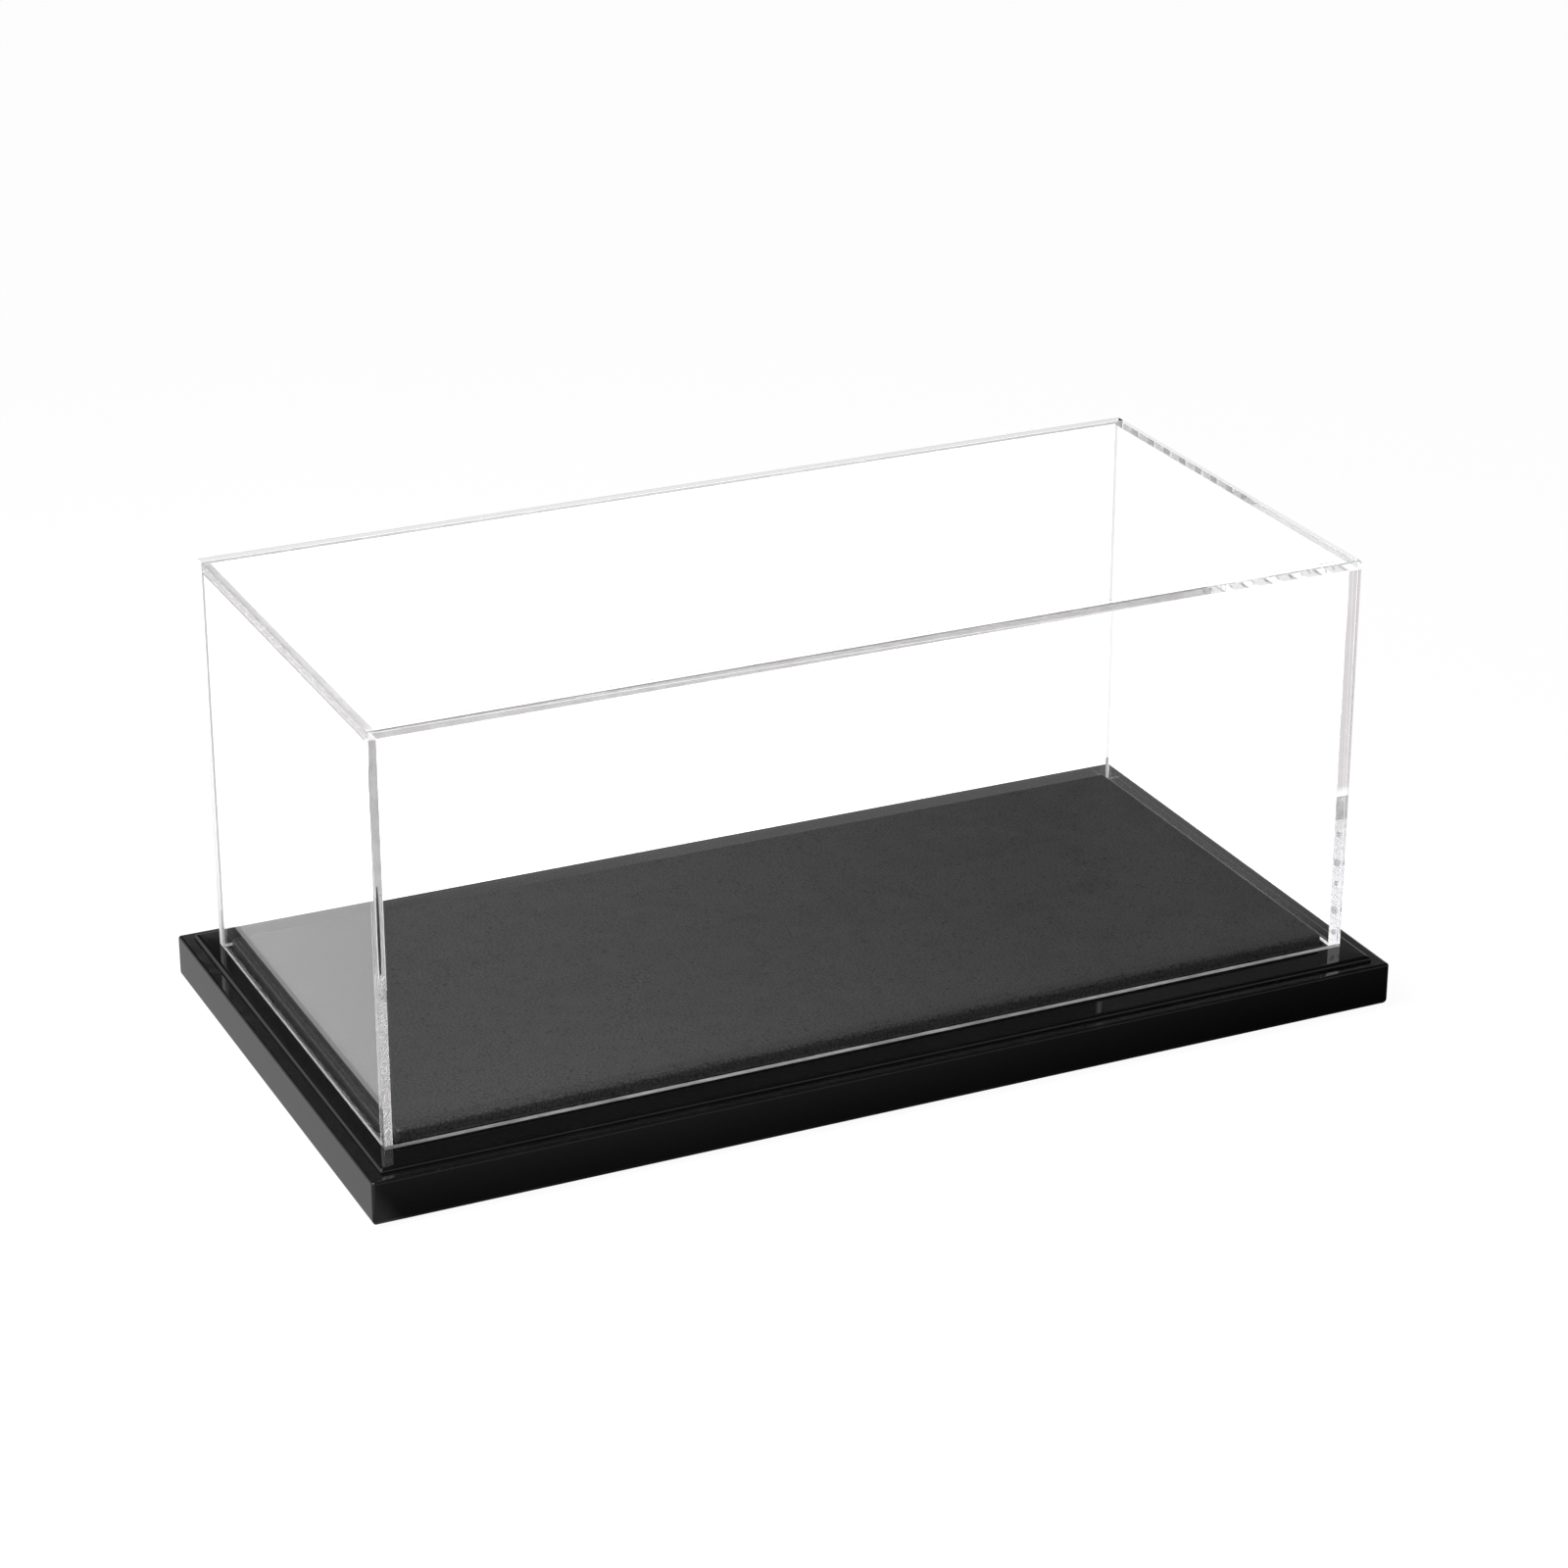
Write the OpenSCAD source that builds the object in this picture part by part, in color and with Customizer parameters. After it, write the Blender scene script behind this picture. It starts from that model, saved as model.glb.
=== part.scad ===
// Model car display case. A clear cover of five cemented sheets lifts straight off a stepped, black
// lacquered plinth, round a raised display floor of leather-wrapped board that is let into the plinth.
// The case stands on z = 0, with its length along x and its front towards -y, in millimetres.

/* [Display space] */
// Clear length inside the cover
inside_l = 300; // [160:1:500]
// Clear depth inside the cover, front to back
inside_w = 139; // [100:1:260]
// Height of the cover, from the plinth's rim to its top face
cover_h = 124; // [40:1:250]

/* [Cover sheets] */
// Thickness of each clear sheet
sheet_t = 3; // [2:0.5:6]
// Thickness of the clear cement in each joint between two sheets
bond_t = 0.15; // [0.1:0.05:0.4]

/* [Plinth] */
// Height of the plinth's straight side faces, with their rounded edges
slab_h = 13.5; // [10:0.5:30]
// Width of the flat ledge round the foot of the step
ledge_w = 4; // [2.8:0.1:10]
// Height of the upright fillet at the foot of the step
fillet_h = 0.2; // [0.2:0.1:3]
// Radius of the step's rounded shoulder
shoulder_r = 1.3; // [1:0.1:6]
// Flat rim outside the cover at each end
rim_end = 3.7; // [1:0.1:20]
// Flat rim outside the cover along the front and the back
rim_side = 8.7; // [1:0.1:20]
// Radius of the plinth's upright corners, seen from above
corner_r = 1; // [0.9:0.1:6]
// Radius along the top of the side faces
edge_r = 0.8; // [0.3:0.1:2]
// Radius along the plinth's lower edge
heel_r = 1.8; // [0.5:0.1:5]

/* [Display floor] */
// Height of the floor above the plinth's rim
floor_rise = 3.5; // [3:0.1:10]
// Depth that the floor is let into the plinth
floor_sunk = 3; // [1:0.1:5]
// Gap between the floor and the inside of the cover
floor_gap = 1.5; // [1:0.1:5]
// Clearance round the floor in its recess
recess_gap = 0.3; // [0.1:0.05:0.8]
// Thickness of the leather
leather_t = 0.8; // [0.5:0.1:1.2]
// Radius of the leather along the floor's upper edges
leather_r = 2; // [1.5:0.1:2.5]
// Radius of the leather at the floor's corners, seen from above
leather_corner_r = 1.5; // [0.5:0.1:1.6]
// Chamfer along the board's upper edges, under the leather
board_chamfer = 0.7; // [0.5:0.1:1.5]
// Width of leather turned in under the board
turn_in = 12; // [5:1:20]

/* [Floor screws] */
// Screws along each long side of the floor
screw_columns = 3; // [2:1:6]
// Distance from the floor's ends to the outer screws
screw_inset_end = 30; // [22:1:60]
// Distance from the floor's long sides to the screws
screw_inset_side = 25; // [22:1:40]
// Diameter of the screw's thread
screw_d = 3; // [2.5:0.1:4]
// Depth that the thread bites over its pilot hole, on each side
thread_bite = 0.2; // [0.1:0.05:0.4]
// Length of thread in the board, with its point
screw_grip = 4.4; // [3:0.1:5]
// Length of the screw's point
screw_point = 1.6; // [0.5:0.1:2]
// Diameter of the screw's head
head_d = 6.4; // [5.5:0.1:8]
// Height of the screw's head
head_h = 2.2; // [1.5:0.1:3]
// Depth of the hole that sinks the head into the plinth
head_sink = 4; // [3:0.1:6]
// Clearance round the screw's shank and head in the plinth, on each side
screw_gap = 0.5; // [0.3:0.05:1]
// Width of each slot of the cross in the head
cross_w = 0.9; // [0.6:0.1:1.2]
// Length of each slot of the cross in the head
cross_l = 3.6; // [2:0.1:4.5]
// Depth of the cross in the head
cross_depth = 1.1; // [0.5:0.1:1.3]

/* [Feet] */
// Diameter of each foot
foot_d = 14; // [8:1:24]
// Height of each foot
foot_h = 2; // [1:0.1:6]
// Radius along each foot's lower edge
foot_r = 0.6; // [0.2:0.1:0.9]
// Distance from the plinth's side faces to each foot
foot_margin = 12; // [6:1:30]

/* [Hidden] */
$fn = 64;

// Outer sizes of the cover
cover_l = inside_l + 2 * sheet_t;
cover_w = inside_w + 2 * sheet_t;

// Sizes of the sheets that stand between the front and the rear sheet
inner_w = cover_w - 2 * (sheet_t + bond_t);
end_h = cover_h - sheet_t - bond_t;

// Sizes of the plinth and of the step on it
step_h = fillet_h + shoulder_r;
plinth_l = cover_l + 2 * (rim_end + shoulder_r + ledge_w);
plinth_w = cover_w + 2 * (rim_side + shoulder_r + ledge_w);
plinth_h = slab_h + step_h;

// Sizes of the display floor, over its leather
floor_l = inside_l - 2 * floor_gap;
floor_w = inside_w - 2 * floor_gap;
floor_h = floor_rise + floor_sunk;

// Heights above the ground
plinth_z = foot_h;
rim_z = plinth_z + plinth_h;
floor_z = rim_z - floor_sunk;

// Screw places and lengths
screw_x = floor_l / 2 - screw_inset_end;
screw_y = floor_w / 2 - screw_inset_side;
screw_pitch = 2 * screw_x / (screw_columns - 1);
web_h = plinth_h - floor_sunk - head_sink;
screw_l = web_h + screw_grip;

// Foot places
foot_x = plinth_l / 2 - foot_margin - foot_d / 2;
foot_y = plinth_w / 2 - foot_margin - foot_d / 2;

// How far a cutting shape runs past the face that it cuts
over = 1;

// Colours of the pieces
lacquer_black = [0.03, 0.03, 0.035];
leather_black = [0.13, 0.13, 0.13];
board_brown = [0.55, 0.42, 0.28];
zinc = [0.72, 0.72, 0.7];
rubber_black = [0.08, 0.08, 0.08];
clear_sheet = [0.85, 0.92, 0.95, 0.25];
clear_bond = [0.95, 0.95, 0.97, 0.5];

// Each foot's name, and the side that it is on along x and y
FEET = [
    ["foot_front_left", -1, -1],
    ["foot_front_right", 1, -1],
    ["foot_rear_left", -1, 1],
    ["foot_rear_right", 1, 1]
];

// Each upright joint's name, and the side that it is on along x and y
UPRIGHT_BONDS = [
    ["bond_front_left", -1, -1],
    ["bond_front_right", 1, -1],
    ["bond_rear_left", -1, 1],
    ["bond_rear_right", 1, 1]
];

// A bar's cross-section, standing on y = 0, with its upper and lower corners rounded
module bar_section(w, h, upper_r, lower_r) {
    translate([-w / 2, lower_r])
        square([w, h - upper_r - lower_r]);
    translate([-w / 2 + upper_r, h / 2])
        square([w - 2 * upper_r, h / 2]);
    for (side = [-1, 1])
        translate([side * (w / 2 - upper_r), h - upper_r])
            circle(upper_r);
    if (lower_r > 0) {
        translate([-w / 2 + lower_r, 0])
            square([w - 2 * lower_r, h / 2]);
        for (side = [-1, 1])
            translate([side * (w / 2 - lower_r), lower_r])
                circle(lower_r);
    }
}

// The plinth's cross-section over a given width: the slab, and the step with its rounded shoulders
module plinth_section(w) {
    bar_section(w, slab_h, edge_r, heel_r);
    translate([0, slab_h / 2])
        bar_section(w - 2 * ledge_w, slab_h / 2 + step_h, shoulder_r, 0);
}

// The board's cross-section over a given width, with its upper corners cut at an angle
module board_section(w, h) {
    polygon([
        [-w / 2, 0],
        [w / 2, 0],
        [w / 2, h - board_chamfer],
        [w / 2 - board_chamfer, h],
        [-w / 2 + board_chamfer, h],
        [-w / 2, h - board_chamfer]
    ]);
}

// Runs a cross-section along x, over a given length
module along_x(l) {
    rotate([90, 0, 90])
        linear_extrude(l, center = true)
            children();
}

// Runs a cross-section along y, over a given length
module along_y(l) {
    rotate([90, 0, 0])
        linear_extrude(l, center = true)
            children();
}

// An upright block, standing on z = 0, with its corners rounded as seen from above
module rounded_block(l, w, h, r) {
    linear_extrude(h) {
        square([l - 2 * r, w], center = true);
        square([l, w - 2 * r], center = true);
        for (sx = [-1, 1], sy = [-1, 1])
            translate([sx * (l / 2 - r), sy * (w / 2 - r)])
                circle(r);
    }
}

// A box, standing on z = 0 and centred on the z axis
module plain_block(l, w, h) {
    translate([-l / 2, -w / 2, 0])
        cube([l, w, h]);
}

// Puts its children at each floor screw's place
module at_screws() {
    for (i = [0 : screw_columns - 1], side = [-1, 1])
        translate([-screw_x + i * screw_pitch, side * screw_y, 0])
            children();
}

// The lacquered plinth, with the recess for the floor and the holes for the floor's screws
module plinth() {
    color(lacquer_black)
        translate([0, 0, plinth_z])
            difference() {
                intersection() {
                    along_x(plinth_l + over) plinth_section(plinth_w);
                    along_y(plinth_w + over) plinth_section(plinth_l);
                    rounded_block(plinth_l, plinth_w, plinth_h, corner_r);
                }
                translate([0, 0, plinth_h - floor_sunk])
                    plain_block(floor_l + 2 * recess_gap, floor_w + 2 * recess_gap, floor_sunk + over);
                at_screws() {
                    translate([0, 0, -over])
                        cylinder(h = head_sink + over, d = head_d + 2 * screw_gap);
                    cylinder(h = plinth_h, d = screw_d + 2 * screw_gap);
                }
            }
}

// The floor board without its pilot holes, with a rebate underneath for the turned-in leather
module board_blank() {
    board_l = floor_l - 2 * leather_t;
    board_w = floor_w - 2 * leather_t;
    board_h = floor_h - leather_t;
    difference() {
        intersection() {
            along_x(board_l) board_section(board_w, board_h);
            along_y(board_w) board_section(board_l, board_h);
        }
        difference() {
            translate([0, 0, -over])
                plain_block(floor_l, floor_w, leather_t + over);
            translate([0, 0, -2 * over])
                plain_block(floor_l - 2 * turn_in, floor_w - 2 * turn_in, leather_t + 3 * over);
        }
    }
}

// The board that stiffens the display floor
module floor_board() {
    color(board_brown)
        translate([0, 0, floor_z])
            difference() {
                board_blank();
                at_screws() {
                    translate([0, 0, -over])
                        cylinder(h = screw_grip + over, d = screw_d - 2 * thread_bite);
                }
            }
}

// The leather, over the board's top and sides and turned in underneath
module floor_leather() {
    color(leather_black)
        translate([0, 0, floor_z])
            difference() {
                intersection() {
                    along_x(floor_l) bar_section(floor_w, floor_h, leather_r, 0);
                    along_y(floor_w) bar_section(floor_l, floor_h, leather_r, 0);
                    rounded_block(floor_l, floor_w, floor_h, leather_corner_r);
                }
                board_blank();
                translate([0, 0, -over])
                    plain_block(floor_l - 2 * turn_in, floor_w - 2 * turn_in, leather_t + over);
            }
}

// One screw, with the face under its head on z = 0 and its point upwards
module floor_screw() {
    difference() {
        translate([0, 0, -head_h])
            cylinder(h = head_h, d = head_d);
        for (turn = [0, 90])
            rotate([0, 0, turn])
                translate([-cross_l / 2, -cross_w / 2, -head_h - over])
                    cube([cross_l, cross_w, cross_depth + over]);
    }
    cylinder(h = screw_l - screw_point, d = screw_d);
    translate([0, 0, screw_l - screw_point])
        cylinder(h = screw_point, d1 = screw_d, d2 = 0);
}

// The screws that hold the floor down from beneath
module floor_screws() {
    color(zinc)
        translate([0, 0, plinth_z + head_sink])
            at_screws() floor_screw();
}

// One foot, under the plinth's corner on the given sides
module foot(side_x, side_y) {
    color(rubber_black)
        translate([side_x * foot_x, side_y * foot_y, 0])
            rotate_extrude() {
                translate([0, foot_r])
                    square([foot_d / 2, foot_h - foot_r]);
                square([foot_d / 2 - foot_r, foot_h]);
                translate([foot_d / 2 - foot_r, foot_r])
                    circle(foot_r);
            }
}

// The front or the rear sheet, which covers the edges of the other three
module long_sheet(side_y) {
    color(clear_sheet)
        translate([0, side_y * (cover_w - sheet_t) / 2, rim_z])
            plain_block(cover_l, sheet_t, cover_h);
}

// The left or the right sheet
module end_sheet(side_x) {
    color(clear_sheet)
        translate([side_x * (cover_l - sheet_t) / 2, 0, rim_z])
            plain_block(sheet_t, inner_w, end_h);
}

// The top sheet
module top_sheet() {
    color(clear_sheet)
        translate([0, 0, rim_z + cover_h - sheet_t])
            plain_block(cover_l, inner_w, sheet_t);
}

// The cement between a long sheet and an end sheet's upright edge
module upright_bond(side_x, side_y) {
    color(clear_bond)
        translate([side_x * (cover_l - sheet_t) / 2, side_y * (inner_w + bond_t) / 2, rim_z])
            plain_block(sheet_t, bond_t, end_h);
}

// The cement between a long sheet and the top sheet's long edge
module long_bond(side_y) {
    color(clear_bond)
        translate([0, side_y * (inner_w + bond_t) / 2, rim_z + cover_h - sheet_t])
            plain_block(cover_l, bond_t, sheet_t);
}

// The cement between an end sheet's upper edge and the top sheet
module end_bond(side_x) {
    color(clear_bond)
        translate([side_x * (cover_l - sheet_t) / 2, 0, rim_z + end_h])
            plain_block(sheet_t, inner_w, bond_t);
}

plinth();
floor_board();
floor_leather();
floor_screws();
for (f = FEET)
    foot(f[1], f[2]);
long_sheet(-1);  // cover_front
long_sheet(1);  // cover_rear
end_sheet(-1);  // cover_left
end_sheet(1);  // cover_right
top_sheet();  // cover_top
for (b = UPRIGHT_BONDS)
    upright_bond(b[1], b[2]);
long_bond(-1);  // bond_top_front
long_bond(1);  // bond_top_rear
end_bond(-1);  // bond_top_left
end_bond(1);  // bond_top_right
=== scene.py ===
"""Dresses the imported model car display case: lacquered plinth, leather floor and clear cemented cover."""

import logging
import math
from dataclasses import dataclass, field
from enum import Enum

import bmesh
import bpy
from mathutils import Euler, Matrix, Vector


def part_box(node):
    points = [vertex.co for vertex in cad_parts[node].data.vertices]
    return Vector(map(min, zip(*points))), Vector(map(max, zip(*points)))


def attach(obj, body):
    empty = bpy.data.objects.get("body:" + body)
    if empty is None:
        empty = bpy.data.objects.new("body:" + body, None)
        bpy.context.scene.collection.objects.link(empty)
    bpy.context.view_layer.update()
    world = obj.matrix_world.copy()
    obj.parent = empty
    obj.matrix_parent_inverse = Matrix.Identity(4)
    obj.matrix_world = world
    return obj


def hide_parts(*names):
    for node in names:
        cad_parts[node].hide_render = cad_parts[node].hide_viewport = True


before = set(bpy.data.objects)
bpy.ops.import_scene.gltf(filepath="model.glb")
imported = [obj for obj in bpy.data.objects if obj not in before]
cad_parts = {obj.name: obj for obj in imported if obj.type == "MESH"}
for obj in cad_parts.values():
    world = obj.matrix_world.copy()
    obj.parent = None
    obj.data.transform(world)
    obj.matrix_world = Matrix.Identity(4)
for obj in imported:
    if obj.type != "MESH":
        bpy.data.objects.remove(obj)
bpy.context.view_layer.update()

MM = 0.001
log = logging.getLogger("display_case")

# Edge mask: real wear on the parts, and on the lacquer also a painted edge highlight.
WEAR_AND_SHEEN = "worn_edge_and_sheen"
CLOUDED = "clouded"
STREWN = "strewn"

FLOAT = "NodeSocketFloat"
INTEGER = "NodeSocketInt"
VECTOR = "NodeSocketVector"
ROTATION = "NodeSocketRotation"
COLOUR = "NodeSocketColor"
MATERIAL = "NodeSocketMaterial"
GEOMETRY = "NodeSocketGeometry"

Colour = tuple[float, float, float, float]
Size = tuple[float, float, float]
Profile = list[tuple[float, float, float]]
Feeds = dict[str | int, object]
Socket = bpy.types.NodeSocket
Material = bpy.types.Material
BMesh = bmesh.types.BMesh


class Body(Enum):
    """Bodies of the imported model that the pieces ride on."""

    BASE = "base"
    COVER = "cover"


class Run(Enum):
    """Ways that a cement joint runs, each with the turn that lays a flat strip into its joint."""

    UPRIGHT = ((0, 1, 0), (0, 0, 1), (1, 0, 0))
    LENGTHWISE = ((1, 0, 0), (0, 0, -1), (0, 1, 0))
    CROSSWISE = ((0, -1, 0), (1, 0, 0), (0, 0, 1))

    @property
    def turn(self) -> Euler:
        """Turn from a strip along X with its face along Z."""
        return Matrix(self.value).to_euler()


class NodeGraph:
    """Adds nodes to one node tree and joins them."""

    def __init__(self, tree: bpy.types.NodeTree) -> None:
        """Takes the tree that the nodes go in."""
        self.tree = tree

    @classmethod
    def cleared(cls, owner: bpy.types.ID) -> "NodeGraph":
        """Gives the emptied graph of a new material or world.

        Args:
            owner: The material or world.

        Returns:
            Its graph.
        """
        owner.use_nodes = True
        owner.node_tree.nodes.clear()
        return cls(owner.node_tree)

    def feed(self, socket: Socket, value: object) -> None:
        """Joins a socket to another one, or sets its value.

        Args:
            socket: Input socket to feed.
            value: Output socket to join it to, or a plain value.
        """
        if isinstance(value, Socket):
            self.tree.links.new(value, socket)
        else:
            socket.default_value = value

    def add(self, kind: str, feeds: Feeds | None = None, **settings: object) -> bpy.types.Node:
        """Adds one node.

        Args:
            kind: Blender's name of the node type.
            feeds: Values or output sockets for the node's inputs, by input name or place.
            settings: Values for the node's own properties.

        Returns:
            The new node.
        """
        node = self.tree.nodes.new(kind)
        for name, value in settings.items():
            setattr(node, name, value)
        for key, value in (feeds or {}).items():
            self.feed(node.inputs[key], value)
        return node

    def math(self, operation: str, first: object, second: object) -> Socket:
        """Adds a Math node and gives its result."""
        return self.add("ShaderNodeMath", {0: first, 1: second}, operation=operation).outputs[0]

    def spread(
        self, value: object, low: float, high: float, to_low: float = 0.0, to_high: float = 1.0
    ) -> Socket:
        """Maps one range of a value smoothly onto another, held at both ends.

        Args:
            value: Socket with the value.
            low: Start of the value's range.
            high: End of the value's range.
            to_low: Result at the start.
            to_high: Result at the end.

        Returns:
            The result's socket.
        """
        feeds = {"Value": value, "From Min": low, "From Max": high, "To Min": to_low, "To Max": to_high}
        return self.add("ShaderNodeMapRange", feeds, interpolation_type="SMOOTHSTEP").outputs["Result"]

    def pick(self, mask: object, off: object, on: object) -> Socket:
        """Gives the first value where the mask is 0 and the second where it is 1."""
        return self.add("ShaderNodeMix", {0: mask, 2: off, 3: on}).outputs[0]

    def mix(self, factor: object, first: object, second: object) -> Socket:
        """Mixes two colours, by the share of the second."""
        return self.add("ShaderNodeMix", {0: factor, 6: first, 7: second}, data_type="RGBA").outputs[2]


class SurfaceEffects:
    """Shader node groups that several finishes share."""

    CLOUD_RANGE = (0.32, 0.68)
    PORES_PER_PEBBLE = 2.6
    PORE_RANGE = (0.3, 0.7)
    LEAST_HEIGHT = 0.7
    SHOULDER_W = 0.22
    CREASE_W = 0.12
    BREAK_RANGE = (0.42, 0.66)

    def __init__(self) -> None:
        """Builds every group once."""
        self.mottle = self._mottle()
        self.pebble = self._pebble()
        self.rubbed_and_sheen = self._rubbed_and_sheen()

    @staticmethod
    def _start(
        name: str, inputs: dict[str, str], outputs: dict[str, str]
    ) -> tuple[NodeGraph, bpy.types.NodeOutputs, bpy.types.NodeInputs]:
        """Starts a group with its named sockets.

        Args:
            name: Name of the group.
            inputs: Socket types of the inputs after the vector and the scale, by name.
            outputs: Socket types of the outputs, by name.

        Returns:
            The group's graph, the sockets that it takes and the sockets that it gives.
        """
        tree = bpy.data.node_groups.new(name, "ShaderNodeTree")
        for label, kind in {"Vector": VECTOR, "Scale": FLOAT, **inputs}.items():
            tree.interface.new_socket(label, in_out="INPUT", socket_type=kind)
        for label, kind in outputs.items():
            tree.interface.new_socket(label, in_out="OUTPUT", socket_type=kind)
        graph = NodeGraph(tree)
        return graph, graph.add("NodeGroupInput").outputs, graph.add("NodeGroupOutput").inputs

    def _mottle(self) -> bpy.types.NodeTree:
        """Builds the group of soft cloudy patches between two colours.

        Returns:
            The group.
        """
        graph, takes, gives = self._start(
            "soft_mottle", {"Low": COLOUR, "High": COLOUR}, {"Color": COLOUR, "Value": FLOAT}
        )
        feeds = {"Vector": takes["Vector"], "Scale": takes["Scale"], "Detail": 5.0, "Roughness": 0.6}
        cloud = graph.add("ShaderNodeTexNoise", feeds)
        value = graph.spread(cloud.outputs["Fac"], *self.CLOUD_RANGE)
        graph.feed(gives["Value"], value)
        graph.feed(gives["Color"], graph.mix(value, takes["Low"], takes["High"]))
        return graph.tree

    def _pebble(self) -> bpy.types.NodeTree:
        """Builds the group of small irregular pebbles with creases between them.

        Returns:
            The group.
        """
        graph, takes, gives = self._start(
            "pebble_grain", {"Wander": FLOAT}, {"Height": FLOAT, "Crease": FLOAT}
        )
        vector, scale = takes["Vector"], takes["Scale"]
        warp = graph.add("ShaderNodeTexNoise", {"Vector": vector, "Scale": scale, "Detail": 2.0})
        feeds = {0: warp.outputs["Color"], 1: takes["Wander"], 2: vector}
        moved = graph.add("ShaderNodeVectorMath", feeds, operation="MULTIPLY_ADD").outputs[0]
        cells = graph.add(
            "ShaderNodeTexVoronoi", {"Vector": moved, "Scale": scale}, feature="DISTANCE_TO_EDGE"
        ).outputs["Distance"]
        fine = graph.math("MULTIPLY", scale, self.PORES_PER_PEBBLE)
        pores = graph.add("ShaderNodeTexNoise", {"Vector": moved, "Scale": fine}).outputs["Fac"]
        swell = graph.spread(cells, 0.0, self.SHOULDER_W)
        pitted = graph.spread(pores, *self.PORE_RANGE, self.LEAST_HEIGHT, 1.0)
        graph.feed(gives["Height"], graph.math("MULTIPLY", swell, pitted))
        graph.feed(gives["Crease"], graph.spread(cells, 0.0, self.CREASE_W, 1.0, 0.0))
        return graph.tree

    def _rubbed_and_sheen(self) -> bpy.types.NodeTree:
        """Builds the group of handling wear, which on the lacquer is also a painted edge highlight, following
        a piece's marked edges in broken patches.

        Returns:
            The group.
        """
        graph, takes, gives = self._start("rubbed_and_sheen_edges", {"Edge": FLOAT, "Even": FLOAT}, {"Mask": FLOAT})
        feeds = {"Vector": takes["Vector"], "Scale": takes["Scale"], "Detail": 6.0, "Roughness": 0.7}
        breaks = graph.add("ShaderNodeTexNoise", feeds)
        patch = graph.spread(breaks.outputs["Fac"], *self.BREAK_RANGE)
        patch = graph.math("MAXIMUM", patch, takes["Even"])
        graph.feed(gives["Mask"], graph.math("MULTIPLY", takes["Edge"], patch))
        return graph.tree


class MaterialDraft:
    """A material under construction: what is to feed its Principled shader, on Object coordinates."""

    def __init__(self, name: str, effects: SurfaceEffects) -> None:
        """Starts the material.

        Args:
            name: Name of the material.
            effects: The shared node groups.
        """
        self.material = bpy.data.materials.new(name)
        self.graph = NodeGraph.cleared(self.material)
        self.effects = effects
        self.place = self.graph.add("ShaderNodeTexCoord").outputs["Object"]
        self.feeds: Feeds = {}

    def effect(self, group: bpy.types.NodeTree, per_m: float, feeds: Feeds) -> bpy.types.NodeOutputs:
        """Places a shared group, so many patches to the metre, and gives its outputs."""
        feeds = {"Vector": self.place, "Scale": per_m, **feeds}
        return self.graph.add("ShaderNodeGroup", feeds, node_tree=group).outputs

    def mark(self, name: str) -> Socket:
        """Reads a value that is marked on the mesh."""
        return self.graph.add("ShaderNodeAttribute", attribute_name=name).outputs["Fac"]

    def tone(self, share: Socket, colour: Colour) -> None:
        """Mixes a colour over the base colour, by its share."""
        self.feeds["Base Color"] = self.graph.mix(share, self.feeds["Base Color"], colour)

    def bump(self, height: Socket, strength: float, depth: float) -> None:
        """Lays a bump over the normal so far.

        Args:
            height: Height of the bump, from 0 to 1.
            strength: Share of the bump that shows.
            depth: Depth of the bump at a height of 1.
        """
        feeds = {"Height": height, "Strength": strength, "Distance": depth}
        if "Normal" in self.feeds:
            feeds["Normal"] = self.feeds["Normal"]
        self.feeds["Normal"] = self.graph.add("ShaderNodeBump", feeds).outputs["Normal"]


class Layer:
    """One layer of a finish."""

    def lay(self, draft: MaterialDraft) -> None:
        """Lays it on a material under construction."""
        raise NotImplementedError


@dataclass(frozen=True)
class Clouds(Layer):
    """Cloudy patches from a dark colour to a light one, so many to the metre, with a roughness to match."""

    per_m: float
    dark: Colour
    light: Colour
    roughness: tuple[float, float] | None = None
    start: float = 0.0

    def lay(self, draft: MaterialDraft) -> None:
        """Lays the patches as the base colour.

        Args:
            draft: The material under construction.
        """
        cloud = draft.effect(draft.effects.mottle, self.per_m, {"Low": self.dark, "High": self.light})
        draft.feeds["Base Color"] = cloud["Color"]
        if self.roughness is not None:
            draft.feeds["Roughness"] = draft.graph.spread(cloud["Value"], self.start, 1.0, *self.roughness)


@dataclass(frozen=True)
class WearAndSheen(Layer):
    """Handling wear along the marked edges, even in part, with a colour of its own or a change of roughness;
    on the lacquer the colour is partly a painted edge highlight and sheen.
    """

    per_m: float
    even: float = 0.0
    colour: Colour | None = None
    rougher: float = 0.0

    def lay(self, draft: MaterialDraft) -> None:
        """Lays the wear, and any painted highlight in its colour, over what is there.

        Args:
            draft: The material under construction.
        """
        feeds = {"Edge": draft.mark(WEAR_AND_SHEEN), "Even": self.even}
        mask = draft.effect(draft.effects.rubbed_and_sheen, self.per_m, feeds)["Mask"]
        if self.colour is not None:
            draft.tone(mask, self.colour)
        change = draft.graph.math("MULTIPLY", mask, self.rougher)
        draft.feeds["Roughness"] = draft.graph.math("ADD", draft.feeds["Roughness"], change)


@dataclass(frozen=True)
class Relief(Layer):
    """A fine noise in the surface, with a colour or a roughness that follows its height between two edges."""

    per_m: float
    detail: float
    strength: float
    depth: float
    edges: tuple[float, float] = (0.0, 1.0)
    colour: Colour | None = None
    roughness: tuple[float, float] | None = None

    def lay(self, draft: MaterialDraft) -> None:
        """Lays the noise over the normal so far.

        Args:
            draft: The material under construction.
        """
        feeds = {"Vector": draft.place, "Scale": self.per_m, "Detail": self.detail}
        height = draft.graph.add("ShaderNodeTexNoise", feeds).outputs["Fac"]
        if self.colour is not None:
            draft.tone(draft.graph.spread(height, *self.edges), self.colour)
        if self.roughness is not None:
            draft.feeds["Roughness"] = draft.graph.spread(height, *self.edges, *self.roughness)
        draft.bump(height, self.strength, self.depth)


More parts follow.
